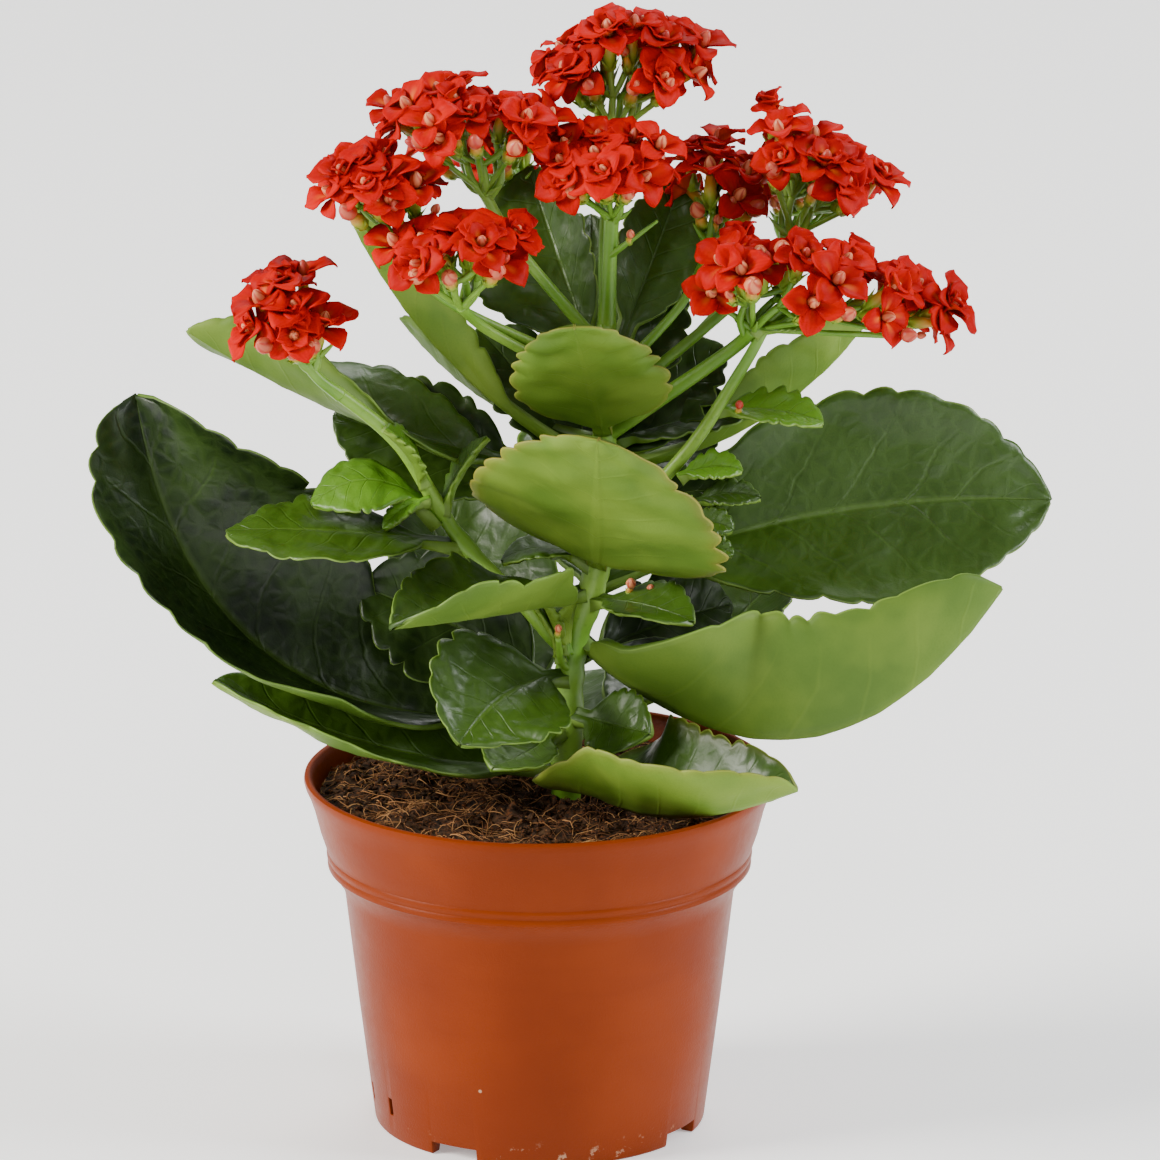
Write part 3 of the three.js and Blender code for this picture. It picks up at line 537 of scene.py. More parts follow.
def pieceFromBmesh(bm, name, materials, replaced=None):
    mesh = bpy.data.meshes.new(name)
    bm.to_mesh(mesh)
    bm.free()
    for material in materials:
        mesh.materials.append(material)
    piece = bpy.data.objects.new(name, mesh)
    bpy.context.collection.objects.link(piece)
    finishPiece(piece, name, replaced)


pot = {  # mm and degrees; the section is radius and height, from the underside up to the lip and down inside
    "underside": [(0.0, 3.6), (33.2, 3.6)],
    "outside": [(34.0, 0.0), (36.8, 0.0), (37.0, 0.5), (40.4, 27.0), (43.5, 53.4), (44.2, 55.4),
                (46.4, 58.6), (47.3, 59.4), (47.35, 60.3), (47.0, 60.8), (47.5, 61.6), (47.55, 62.3),
                (47.3, 62.8), (48.9, 67.5), (50.3, 73.0), (51.4, 76.2), (52.2, 77.9), (52.5, 79.0),
                (52.35, 79.7), (51.9, 80.0)],
    "inside": [(51.2, 80.0), (50.7, 79.6), (50.2, 78.4), (49.1, 73.0), (46.0, 60.0), (42.5, 54.0),
               (35.7, 5.0), (0.0, 4.8)],
    "steps": 128,
    "edge": 0.25,
    "notches": {"count": 4, "start": -121.0, "radius": 36.0, "deep": 12.0, "gap": 11.5, "high": 3.0},
    "slits": {"angles": (-169.0, -151.0, 11.0, 29.0), "radius": 37.0, "deep": 6.0, "wide": 1.5, "low": 5.6,
              "high": 4.0},
}


def buildPot():
    # half a section drawn as a line of vertices, spun round the pot's axis
    section = pot["underside"] + pot["outside"] + pot["inside"]
    mesh = bpy.data.meshes.new("potSection")
    points = [toFrame((radius, 0, height)) for radius, height in section]
    mesh.from_pydata(points, [(i, i + 1) for i in range(len(points) - 1)], [])
    line = bpy.data.objects.new("potSection", mesh)
    bpy.context.collection.objects.link(line)
    selectOnly(line)
    bpy.ops.object.mode_set(mode="EDIT")
    bpy.ops.mesh.select_all(action="SELECT")
    bpy.ops.mesh.spin(steps=pot["steps"], angle=2 * math.pi, center=potAxis, axis=(0, 0, 1))
    bpy.ops.mesh.select_all(action="SELECT")
    bpy.ops.mesh.remove_doubles(threshold=0.02 * mm)
    bpy.ops.mesh.normals_make_consistent(inside=False)
    bpy.ops.object.mode_set(mode="OBJECT")
    notches, slits = pot["notches"], pot["slits"]
    cuts = []
    for k in range(notches["count"]):
        angle = math.radians(notches["start"] + 360 / notches["count"] * k)
        size = (notches["deep"], notches["gap"], 2 * notches["high"])
        cuts.append((angle, notches["radius"], 0.0, size))
    for degrees in slits["angles"]:
        middle = slits["low"] + slits["high"] / 2
        size = (slits["deep"], slits["wide"], slits["high"])
        cuts.append((math.radians(degrees), slits["radius"], middle, size))
    for angle, radius, height, size in cuts:
        spot = toFrame((radius * math.cos(angle), radius * math.sin(angle), height))
        bpy.ops.mesh.primitive_cube_add(size=1, location=spot, rotation=(0, 0, angle),
                                        scale=Vector(size) * mm)
        cutter = bpy.context.object
        applyModifier(line, "BOOLEAN", object=cutter, operation="DIFFERENCE", solver="EXACT")
        bpy.data.objects.remove(cutter)
    applyModifier(line, "BEVEL", width=pot["edge"] * mm, segments=2, limit_method="ANGLE",
                  angle_limit=math.radians(55))
    selectOnly(line)
    bpy.ops.object.shade_smooth_by_angle(angle=math.radians(40))
    line.data.materials.append(potPlastic)
    finishPiece(line, "nurseryPot", "pot")


buildPot()
print("pot made")


soil = {  # mm; the wall is radius and height inside the pot, and the relief is how high and how wide
    "wall": [(35.4, 5.2), (42.1, 53.6), (45.7, 60.2), (48.9, 73.0)],
    "level": 74.8,
    "radius": 49.0,
    "heap": 1.8,
    "clod": 2.1,
    "clodSize": 9.0,
    "crumb": 0.9,
    "crumbSize": 2.4,
    "edgeDrop": 1.4,
    "rings": 56,
    "spokes": 150,
}


def soilHeight(x, y):  # mm above the surface that the pot stands on
    radius = math.hypot(x, y)
    heap = soil["heap"] * max(0.0, -x / soil["radius"])
    clods = noise.noise(Vector((x, y, 3.0)) / soil["clodSize"]) * soil["clod"]
    lumps = noise.noise(Vector((x, y, 7.0)) / soil["crumbSize"]) * soil["crumb"]
    drop = soil["edgeDrop"] * max(0.0, radius / soil["radius"] - 0.9) / 0.1
    return soil["level"] + heap + clods + lumps - drop


def buildSoil():
    # a ring of edges drawn up the inside of the pot, then in over the top to the middle
    radius, height = soil["wall"][0]
    bpy.ops.mesh.primitive_circle_add(vertices=soil["spokes"], radius=radius * mm, fill_type="NOTHING",
                                      location=potAxis + up * height * mm)
    bed = bpy.context.object
    selectOnly(bed)
    bpy.ops.object.transform_apply(location=True, rotation=True, scale=True)
    bpy.ops.object.mode_set(mode="EDIT")
    bpy.ops.mesh.select_all(action="SELECT")
    for wider, higher in soil["wall"][1:]:
        rise = (0, 0, (higher - height) * mm)
        bpy.ops.mesh.extrude_region_move(TRANSFORM_OT_translate={"value": rise})
        bpy.ops.transform.resize(value=(wider / radius, wider / radius, 1), center_override=potAxis)
        radius, height = wider, higher
    for k in range(soil["rings"]):
        shrink = (soil["rings"] - k - 0.9) / (soil["rings"] - k)
        bpy.ops.mesh.extrude_region_move()
        bpy.ops.transform.resize(value=(shrink, shrink, 1), center_override=potAxis)
    bpy.ops.mesh.merge(type="CENTER")
    bpy.ops.object.mode_set(mode="OBJECT")
    for vertex in bed.data.vertices:
        local = (vertex.co - potAxis) / mm
        if local.z > height - 0.1:
            vertex.co.z = potAxis.z + soilHeight(local.x, local.y) * mm
    selectOnly(bed)
    bpy.ops.object.mode_set(mode="EDIT")
    bpy.ops.mesh.select_all(action="SELECT")
    bpy.ops.mesh.fill_holes(sides=0)
    bpy.ops.mesh.normals_make_consistent(inside=False)
    bpy.ops.object.mode_set(mode="OBJECT")
    bpy.ops.object.shade_smooth_by_angle(angle=math.radians(60))
    bed.data.materials.append(soilSurface)
    finishPiece(bed, "coirBed", "soil")


def spotOnSoil(rng, spread):  # a random place on the soil, and the angle that it lies at
    reach = soil["radius"] * math.sqrt(rng.random()) * spread
    around = rng.uniform(0, 2 * math.pi)
    return reach * math.cos(around), reach * math.sin(around), around


fibres = {  # lengths in mm, the curl in radians from end to end
    "count": 1300,
    "seed": 11,
    "spread": 0.97,
    "length": (3.0, 11.0),
    "curl": 1.6,
    "rise": 1.6,
    "radius": (0.07, 0.17),
    "darkerSide": 15.0,
    "steps": 4,
}


def buildFibres():
    rng = random.Random(fibres["seed"])
    bm = bmesh.new()
    shade = bm.verts.layers.float.new("shade")
    for _ in range(fibres["count"]):
        x, y, around = spotOnSoil(rng, fibres["spread"])
        heading = rng.uniform(0, 2 * math.pi)
        length = rng.uniform(*fibres["length"])
        curl = rng.uniform(-fibres["curl"], fibres["curl"])
        rise = rng.uniform(0.0, fibres["rise"])
        radius = rng.uniform(*fibres["radius"])
        # strands run darker towards one side of the pot, set in the table in degrees round from +X
        darkening = 1.1 + 1.2 * (1 + math.cos(around - math.radians(fibres["darkerSide"]))) / 2
        tone = rng.random() ** darkening
        path = []
        for k in range(fibres["steps"] + 1):
            t = k / fibres["steps"]
            turn = heading + curl * t
            x += length / fibres["steps"] * math.cos(turn)
            y += length / fibres["steps"] * math.sin(turn)
            out = math.hypot(x, y) / (soil["radius"] - 0.4)
            if out > 1:
                x, y = x / out, y / out
            lift = soilHeight(x, y) + 0.15 + rise * math.sin(math.pi * t)
            path.append((x, y, lift, radius * (1.05 - 0.6 * t)))
        before = len(bm.verts)
        addTube(bm, path, 3)
        bm.verts.ensure_lookup_table()
        for k in range(before, len(bm.verts)):
            bm.verts[k][shade] = tone
    pieceFromBmesh(bm, "coirFibres", [coirFibre])


crumbs = {  # size in mm, then how a crumb is stretched each way and how rough it is
    "count": 1600,
    "seed": 12,
    "spread": 0.96,
    "size": (0.35, 1.25),
    "long": (0.7, 1.6),
    "wide": (0.6, 1.1),
    "high": (0.5, 0.9),
    "rough": (0.8, 1.2),
}


def buildCrumbs():
    rng = random.Random(crumbs["seed"])
    bpy.ops.mesh.primitive_ico_sphere_add(subdivisions=1, radius=1)
    pebble = bpy.context.object
    bm = bmesh.new()
    for _ in range(crumbs["count"]):
        x, y, _ = spotOnSoil(rng, crumbs["spread"])
        size = rng.uniform(*crumbs["size"])
        start = len(bm.verts)
        bm.from_mesh(pebble.data)
        bm.verts.ensure_lookup_table()
        turn = rng.uniform(0, 6.28)
        spin = Matrix.Rotation(turn, 3, Vector((rng.random(), rng.random(), 0.3)).normalized())
        stretch = [rng.uniform(*crumbs[side]) for side in ("long", "wide", "high")]
        centre = Vector((x, y, soilHeight(x, y) + 0.2 * size))
        for k in range(start, len(bm.verts)):
            corner = Vector([side * share for side, share in zip(bm.verts[k].co, stretch)])
            bm.verts[k].co = toFrame(centre + spin @ corner * size * rng.uniform(*crumbs["rough"]))
    bpy.data.objects.remove(pebble)
    pieceFromBmesh(bm, "coirCrumbs", [soilCrumb])


buildSoil()
buildFibres()
buildCrumbs()
print("soil made")


stems = {  # (x, y, z, radius) in mm, as the plant's solids have them
    "main_stem": [(6, 0, 62.4, 3.4), (6, 0, 76, 3.3), (6.5, 0, 99, 3.1), (8, 0, 111, 2.9),
                  (13, 0, 129, 2.6), (14.5, 0, 159, 2.3), (15, 0, 184, 2.1)],
    "left_stem": [(3.2, -1.6, 111.6, 1.7), (-4, -4, 121, 1.7), (-18.5, -6, 137.5, 1.7),
                  (-30.5, -11, 159, 1.6), (-44, -13, 171.5, 1.5)],
}
stemRoots = {"main_stem": [], "left_stem": [(7.5, 0, 108, 2.1)]}  # the side stem grows out of the main one
stemForm = {"sides": 20, "steps": 10, "node": 0.45, "nodeReach": 2.2}  # a node's swelling is in mm


def stemAt(name, z):
    chain = stems[name]
    i = next((k for k in range(1, len(chain)) if chain[k][2] >= z), len(chain) - 1)
    low, high = chain[i - 1], chain[i]
    share = (z - low[2]) / (high[2] - low[2])
    x, y, _, radius = (a + (b - a) * share for a, b in zip(low, high))
    return Vector((x, y, z)), radius, (Vector(high[:3]) - Vector(low[:3])).normalized()


def buildStem(name, joints):
    path = smoothPath(stemRoots[name] + stems[name], stemForm["steps"])
    for row in path:  # a swollen ring wherever leaves leave the stem
        swell = sum(math.exp(-((row[2] - z) / stemForm["nodeReach"]) ** 2) for z in joints)
        row[3] += stemForm["node"] * min(1.0, swell)
    bm = bmesh.new()
    addTube(bm, path, stemForm["sides"])
    pieceFromBmesh(bm, name + "Skin", [stemSkin], name)


blade = {  # mm, and how many rows and columns of faces
    "petiole": 2.1,
    "petioleThick": 3.0,
    "thick": 1.5,
    "edgeThick": 0.32,
    "root": 3.2,
    "seat": 1.3,
    "gap": 0.3,
    "notch": 1.5,
    "ribDepth": 0.5,
    "veinDepth": 0.16,
    "veins": leafLook["veinCount"],
    "pucker": 1.2,
    "toothRows": 9,
    "stalkRows": 0.06,
    "columns": 26,
    "narrowColumns": 14,
}
# The same numbers as the plant's solids have, in mm and degrees, apart from the fold of leaf_soil_left and
# the wave of leaf_front_left. Then, for the looks alone: how young the leaf is, a number that also carries
# painted light (lower on leaves that stand in shade, higher on lit ones), how pale below, which carries
# painted light in the same way, how blushed at its margin, and how deep the notches of its margin are.
leaves = {
    "leaf_low_left": dict(on="main_stem", z=93, heading=174, rise=38, length=116, arch=-26, bend=-9,
                          width=64, roll=(28, 56), fold=(34, 14), cup=30, teeth=9, lean=0.16, shape=1.3,
                          full=0.45, wave=1.5, youthAndPaintedLight=0.0, notch=2.2),
    "leaf_soil_left": dict(on="main_stem", z=81, heading=-174, rise=17, length=78, arch=-4, bend=-4,
                           width=34, roll=(16, -6), fold=(2, 32), cup=24, teeth=7, shape=0.9, youthAndPaintedLight=0.5),
    "leaf_low_right": dict(on="main_stem", z=109, heading=-8, rise=11.2, length=93, arch=-23, bend=13,
                           width=58, roll=(6, 2), fold=(10, 74), cup=24, teeth=8, shape=0.75, full=0.33,
                           stalk=0.02, youthAndPaintedLight=0.1),
    "leaf_high_right": dict(on="main_stem", z=125, heading=14, rise=6, length=102, arch=6, bend=-1,
                            width=54, roll=(-52, -62), fold=(14, 10), cup=20, teeth=9, wave=1, youthAndPaintedLight=0.42),
    "leaf_front": dict(on="main_stem", z=131, heading=-90, rise=44, length=56, arch=-2, width=60,
                       roll=(18, 18), fold=(-4, -4), cup=10, teeth=7, shape=0.62, full=0.45, stalk=0.02,
                       blush=0.2, notch=1.8),
    "leaf_front_high": dict(on="main_stem", z=162, heading=-103, rise=48, length=39, width=36,
                            roll=(-8, -8), fold=(-2, -2), cup=10, teeth=6, shape=0.7, full=0.45,
                            stalk=0.02, youthAndPaintedLight=0.6, pale=1.0, blush=0.15, notch=1.5),
    "leaf_front_low": dict(on="main_stem", z=103, heading=-131, rise=-13, length=34, arch=4, width=38,
                           roll=(30, 30), fold=(10, 10), cup=20, teeth=6, youthAndPaintedLight=0.42),
    "leaf_front_left": dict(on="main_stem", z=122, heading=-138, rise=4, length=55, arch=1, bend=-5,
                            width=40, roll=(30, 30), fold=(58, -14), cup=20, teeth=6, youthAndPaintedLight=0.35,
                            notch=1.8, wave=1.6),
    "leaf_front_right": dict(on="main_stem", z=80, heading=-37, rise=8, length=60, arch=-5, bend=9,
                             width=45, roll=(-8, -12), fold=(40, 50), cup=20, teeth=8, shape=0.75,
                             full=0.4, stalk=0.02, youthAndPaintedLight=0.5, pale=1.0, blush=0.12),
    "leaf_soil_front": dict(on="main_stem", z=90, heading=-131, rise=-8, length=22, arch=-1, width=19,
                            roll=(6, 6), fold=(6, 12), teeth=5, youthAndPaintedLight=0.6),
    "leaf_mid_right": dict(on="main_stem", z=94, heading=-50, rise=4, length=25, arch=0, width=18,
                           roll=(-50, -50), fold=(12, 12), teeth=6, youthAndPaintedLight=0.55),
    "leaf_under_front": dict(on="main_stem", z=120.2, heading=-42, rise=2, length=28, arch=2, bend=2,
                             width=18, roll=(-14, -14), fold=(12, 12), teeth=6, youthAndPaintedLight=0.5),
    "leaf_mid_left": dict(on="main_stem", z=129, heading=-172, rise=2, length=18, arch=3, width=18,
                          roll=(0, 0), fold=(0, 0), teeth=5),
    "leaf_twisted": dict(on="main_stem", z=148, heading=175, rise=20, length=94, arch=-5, width=38,
                         roll=(62, -56), fold=(16, 16), cup=26, teeth=9, stalk=0.24, youthAndPaintedLight=0.45),
    "leaf_upright_left": dict(on="main_stem", z=156.5, heading=150, rise=24, length=53, arch=-5, width=24,
                              roll=(-34, -34), fold=(14, 14), cup=20, teeth=6, stalk=0.3, youthAndPaintedLight=0.15,
                              pale=0.0),
    "leaf_tall_left": dict(on="main_stem", z=153, heading=-179, rise=49, length=82, arch=-7, width=23,
                           roll=(-30, -26), fold=(26, 26), cup=20, teeth=8, stalk=0.24, youthAndPaintedLight=0.7),
    "leaf_behind_left": dict(on="main_stem", z=150.5, heading=111, rise=22, length=42, arch=2, width=20,
                             roll=(30, 30), fold=(14, 14), teeth=5, youthAndPaintedLight=0.3),
    "leaf_top_left": dict(on="main_stem", z=174, heading=120, rise=52, length=48, bend=0, width=34,
                          roll=(50, 55), fold=(16, 16), cup=20, teeth=8, lean=-0.3, youthAndPaintedLight=0.4),
    "leaf_top_right": dict(on="main_stem", z=177, heading=52, rise=56, length=42, arch=0, width=23,
                           roll=(-40, -40), fold=(16, 16), cup=20, teeth=7, lean=0.1, youthAndPaintedLight=0.45),
    "leaf_pale_right": dict(on="main_stem", z=151, heading=11, rise=30, length=66, arch=-8, bend=-2,
                            width=32, roll=(40, 30), fold=(16, 16), cup=20, teeth=7, stalk=0.24,
                            youthAndPaintedLight=0.9),
    "leaf_behind_right": dict(on="main_stem", z=147.2, heading=51, rise=21, length=35, arch=-3, bend=-3,
                              width=30, roll=(-34, -34), fold=(14, 14), teeth=6, youthAndPaintedLight=0.2),
    "leaf_dark_left": dict(on="main_stem", z=137, heading=162, rise=19, length=62, arch=2, width=31,
                           roll=(50, 50), fold=(14, 14), teeth=7, stalk=0.3, youthAndPaintedLight=0.3),
    "leaf_left_long": dict(on="left_stem", z=134.5, heading=-168, rise=7, length=50, arch=3, bend=-5,
                           width=32, roll=(6, 6), fold=(-6, 4), cup=10, teeth=7, youthAndPaintedLight=0.6),
    "leaf_left_bright": dict(on="left_stem", z=143.5, heading=-172, rise=4, length=25, arch=6, width=20,
                             roll=(20, 20), fold=(-14, -10), cup=12, teeth=5, youthAndPaintedLight=0.9),
    "leaf_back_low_left": dict(on="main_stem", z=96, heading=118, rise=24, length=78, arch=-8, width=44,
                               roll=(0, 8), fold=(18, 18), cup=24, teeth=7, youthAndPaintedLight=0.3),
    "leaf_back_low_right": dict(on="main_stem", z=90, heading=48, rise=18, length=76, arch=-6, width=42,
                                roll=(0, -8), fold=(18, 18), cup=24, teeth=7, youthAndPaintedLight=0.4),
    "leaf_back_soil": dict(on="main_stem", z=82, heading=88, rise=4, length=52, arch=3, width=32,
                           roll=(0, 0), fold=(12, 12), teeth=6),
    "leaf_back": dict(on="main_stem", z=118, heading=84, rise=28, length=74, arch=-6, width=46,
                      roll=(6, 0), fold=(16, 16), cup=24, teeth=7),
    "leaf_back_high": dict(on="main_stem", z=162, heading=94, rise=40, length=54, arch=-5, width=25,
                           roll=(-6, 0), fold=(16, 16), cup=20, teeth=6, youthAndPaintedLight=0.5),
}


def leafRib(leaf):  # the midrib, as the three points of a quadratic curve
    heading, rise = math.radians(leaf["heading"]), math.radians(leaf["rise"])
    turn = math.radians(leaf["roll"][0])
    outward = Vector((math.cos(heading), math.sin(heading), 0))
    along = outward * math.cos(rise) + up * math.sin(rise)
    side = along.cross(up).normalized()
    face = side.cross(along)
    if "start" in leaf:
        start = Vector(leaf["start"])
    else:
        across = side * math.cos(turn) + face * math.sin(turn)
        normal = across.cross(along)
        centre, radius, stemAlong = stemAt(leaf["on"], leaf["z"])
        square = outward - stemAlong * outward.dot(stemAlong)
        slant = square.length
        square /= slant
        reach = blade["petiole"] * abs(across.dot(square)) + blade["seat"] * abs(normal.dot(square))
        start = centre + outward * ((radius + blade["gap"] + reach) / slant)
    tip = start + along * leaf["length"]
    middle = start.lerp(tip, 0.5) + face * leaf.get("arch", 0) + side * leaf.get("bend", 0)
    return start, middle * 2 - start * 0.5 - tip * 0.5, tip


def notchDepth(leaf, u, sign, seed):  # how far the margin draws in, in mm: 0 on each tooth's crest
    uneven = noise.noise(Vector((u * leaf["teeth"] * 0.9, sign * 3.1, seed)))
    place = u * leaf["teeth"] * 1.25 + 0.4 * uneven
    x = place - math.floor(place)
    deep = 0.75 + 1.5 * noise.noise(Vector((math.floor(place) * 1.73 + 0.4, sign * 5.3, seed + 0.5)))
    return blade["notch"] * max(0.25, deep) * (1 - max(0.0, math.sin(math.pi * x ** 1.4)) ** 0.6)


def halfWidth(leaf, t, sign):
    stalk = leaf.get("stalk", 0.14)
    s = max(0.0, (t - stalk) / (1 - stalk))
    wide = leaf["width"] / 2 * (1 + sign * leaf.get("lean", 0))
    swell = max(0.0, math.sin(math.pi * min(1.0, s) ** leaf.get("shape", 1.05)))
    flat = wide * swell ** leaf.get("full", 0.62)
    petiole = leaf.get("petiole", blade["petiole"]) * max(0.0, 1 - s / 0.3)
    return max(0.35, (flat ** 3 + petiole ** 3) ** (1 / 3))


def leafRelief(u, w, half, seed):  # mm that the skin stands up between its veins
    slant = (u - 0.2 * w ** 0.8) * blade["veins"]
    near = abs(slant - round(slant))
    side = math.exp(-(near / 0.14) ** 2) * min(1.0, u * 5) * (1 - 0.6 * w)
    rib = math.exp(-(w * half / 1.6) ** 2) * (1 - u) ** 1.5
    bulge = noise.noise(Vector((u * 7, w * 2.2, seed))) * blade["pucker"] * min(1.0, 3 * w)
    scale = min(1.0, half / 14)
    return (bulge - blade["veinDepth"] * side) * scale - blade["ribDepth"] * rib * scale


def leafPoint(leaf, rib, t, u, v, notch, seed):
    start, control, tip = rib
    centre = start * (1 - t) ** 2 + control * 2 * t * (1 - t) + tip * t ** 2
    along = ((control - start) * (1 - t) + (tip - control) * t).normalized()
    side = along.cross(up).normalized()
    face = side.cross(along)
    turn = math.radians(leaf["roll"][0] + (leaf["roll"][1] - leaf["roll"][0]) * t)
    across = side * math.cos(turn) + face * math.sin(turn)
    normal = face * math.cos(turn) - side * math.sin(turn)
    w, sign = abs(v), -1 if v < 0 else 1
    opened = min(1.0, max(0.0, (t - 0.1) / 0.25))
    fold = math.radians(leaf["fold"][0 if v < 0 else 1]) * (0.35 + 0.65 * opened)
    cup = math.radians(leaf.get("cup", 12))
    half = halfWidth(leaf, t, sign)
    half = max(0.2, half - notch * leaf.get("notch", 1) * w ** 4 * opened * min(1.2, half / 12))
    tilt = fold + cup * w
    lateral = half * (math.sin(tilt) - math.sin(fold)) / cup
    lift = half * (math.cos(fold) - math.cos(tilt)) / cup
    wave = leaf.get("wave", 0) * math.sin(2 * math.pi * (2.5 * t + (0.35 if v < 0 else 0))) * w * w * opened
    lift += wave + leafRelief(u, w, half, seed)
    return centre + across * sign * lateral + normal * lift


def growLeaf(leaf, seed, sunk):  # a blade and its petiole, which is sunk this many mm into the stem
    rows = leaf["teeth"] * blade["toothRows"] + 6
    columns = blade["columns"] if leaf["width"] > 20 else blade["narrowColumns"]
    bpy.ops.mesh.primitive_grid_add(x_subdivisions=rows, y_subdivisions=columns, size=2, calc_uvs=True)
    piece = bpy.context.object
    mesh = piece.data
    mesh.uv_layers[0].name = "blade"
    weights = piece.vertex_groups.new(name="thickness")
    rib = leafRib(leaf)
    stalk = leaf.get("stalk", 0.14)
    rootShare = sunk / leaf["length"]
    stalkRows = blade["stalkRows"]
    for vertex in mesh.vertices:
        along, v = (vertex.co.x + 1) / 2, -vertex.co.y
        if along < stalkRows:
            t, u, notch = -rootShare + (stalk + rootShare) * along / stalkRows, 0.0, 0.0
        else:
            u = (along - stalkRows) / (1 - stalkRows)
            s = 0.55 * u + 0.45 * math.sin(math.pi / 2 * u)
            t = stalk + (1 - stalk) * s
            notch = notchDepth(leaf, u, -1 if v < 0 else 1, seed)
        vertex.co = toFrame(leafPoint(leaf, rib, t, u, v, notch, seed))
        fleshy = max(0.0, 1 - t / (stalk + 0.18))
        thick = blade["thick"] + (blade["petioleThick"] - blade["thick"]) * fleshy
        thick = thick - (thick - blade["edgeThick"]) * abs(v) ** 5 * (1 - fleshy)
        weights.add([vertex.index], thick / blade["petioleThick"], "REPLACE")
    for material in (leafTop, leafUnder, leafMargin):
        mesh.materials.append(material)
    applyModifier(piece, "SOLIDIFY", thickness=blade["petioleThick"] * mm, offset=0.0,
                  vertex_group="thickness", material_offset=1, material_offset_rim=2)
    # one number per leaf for its age together with painted light, and one for how pale below, which is
    # partly painted light too
    setConstant(mesh, "youthAndPaintedLight", leaf.get("youthAndPaintedLight", 0.5))
    setConstant(mesh, "pale", leaf.get("pale", leaf.get("youthAndPaintedLight", 0.5)))
    setConstant(mesh, "blush", leaf.get("blush", 0.0))
    selectOnly(piece)
    bpy.ops.object.shade_smooth()
    return piece


for stemName in stems:
    buildStem(stemName, [leaf["z"] for leaf in leaves.values() if leaf["on"] == stemName])
for number, (leafName, leafShape) in enumerate(leaves.items()):
    finishPiece(growLeaf(leafShape, number * 3.7, blade["root"]), leafName + "_blade", leafName)
print("stems and leaves made")


flower = {  # mm, and how many rows and columns of faces a petal has; a shut bud is its radius and length
    "petalLength": 6.7,
    "petalWidth": 6.0,
    "throat": 0.7,
    "lift": 1.5,
    "curl": 0.9,
    "cup": 0.5,
    "ruffle": 0.7,
    "thick": 0.3,
    "rows": 6,
    "columns": 4,
    "budRadius": 1.5,
    "budLength": 4.2,
    "tubeLength": 7.5,
    "tubeRadius": 1.6,
    "sepalLength": 4.6,
    "sepalWidth": 0.85,
    "sepalLean": 38.0,
    "plumpBud": (2.1, 4.6),
    "smallBud": (1.15, 2.6),
}
bloomKinds = {  # petals in one, two or three layers: how many, how long, how upright and how far turned
    "simpleFour": [dict(count=4, size=1.05, tilt=16, turn=0)],
    "simpleFive": [dict(count=5, size=1.0, tilt=20, turn=0)],
    "doubled": [dict(count=5, size=1.05, tilt=10, turn=0), dict(count=5, size=0.85, tilt=44, turn=36)],
    "ruffled": [dict(count=5, size=1.05, tilt=8, turn=0), dict(count=4, size=0.85, tilt=38, turn=30),
                dict(count=3, size=0.65, tilt=64, turn=10)],
    "opening": [dict(count=4, size=0.9, tilt=56, turn=0)],
}
flowerSkins = [petalFront, petalBack, budSkin, calyxSkin]


def skinned(piece, index):  # every flower part carries the same four materials, so that they join in order
    for material in flowerSkins:
        piece.data.materials.append(material)
    for face in piece.data.polygons:
        face.material_index = index


def petalPoint(s, v, petal):  # a broad petal, cupped where it leaves the throat, its tip curled back
    size, phase = petal["size"], petal["phase"]
    u = 1 - (1 - s) ** 1.45
    width = flower["petalWidth"] / 2 * size * (0.14 + 0.86 * math.sin(math.pi * (0.05 + 0.9 * u) ** 1.2))
    width = max(0.08, width * math.sqrt(max(0.0, 1 - u ** 8)))
    reach = flower["throat"] + flower["petalLength"] * size * u
    lift = flower["lift"] * size * math.sin(math.pi * 0.6 * u) - flower["curl"] * size * u ** 3
    lift += flower["cup"] * width * v * v * (1 - 1.5 * u * u)
    lift += flower["ruffle"] * size * abs(v) * u * math.sin(7 * u + phase + (1.7 if v < 0 else 0))
    tilt = math.radians(petal["tilt"])
    out = reach * math.cos(tilt) - lift * math.sin(tilt)
    high = reach * math.sin(tilt) * 0.9 + lift * math.cos(tilt)
    return Vector((out, -v * width + 0.25 * math.sin(phase) * u * u, high))


def closedBud(radius, length):  # rolled petals: an egg with a blunt point
    bpy.ops.mesh.primitive_uv_sphere_add(segments=10, ring_count=7, radius=1, calc_uvs=True)
    bud = bpy.context.object
    bud.data.uv_layers[0].name = "blade"
    for vertex in bud.data.vertices:
        high = (vertex.co.z + 1) / 2
        belly = 1.0 - 0.42 * high ** 2
        vertex.co.x *= radius * belly
        vertex.co.y *= radius * belly
        vertex.co.z = high * length
    skinned(bud, 2)
    return bud


def joined(parts):
    selectOnly(*parts)
    bpy.ops.object.join()
    return bpy.context.object


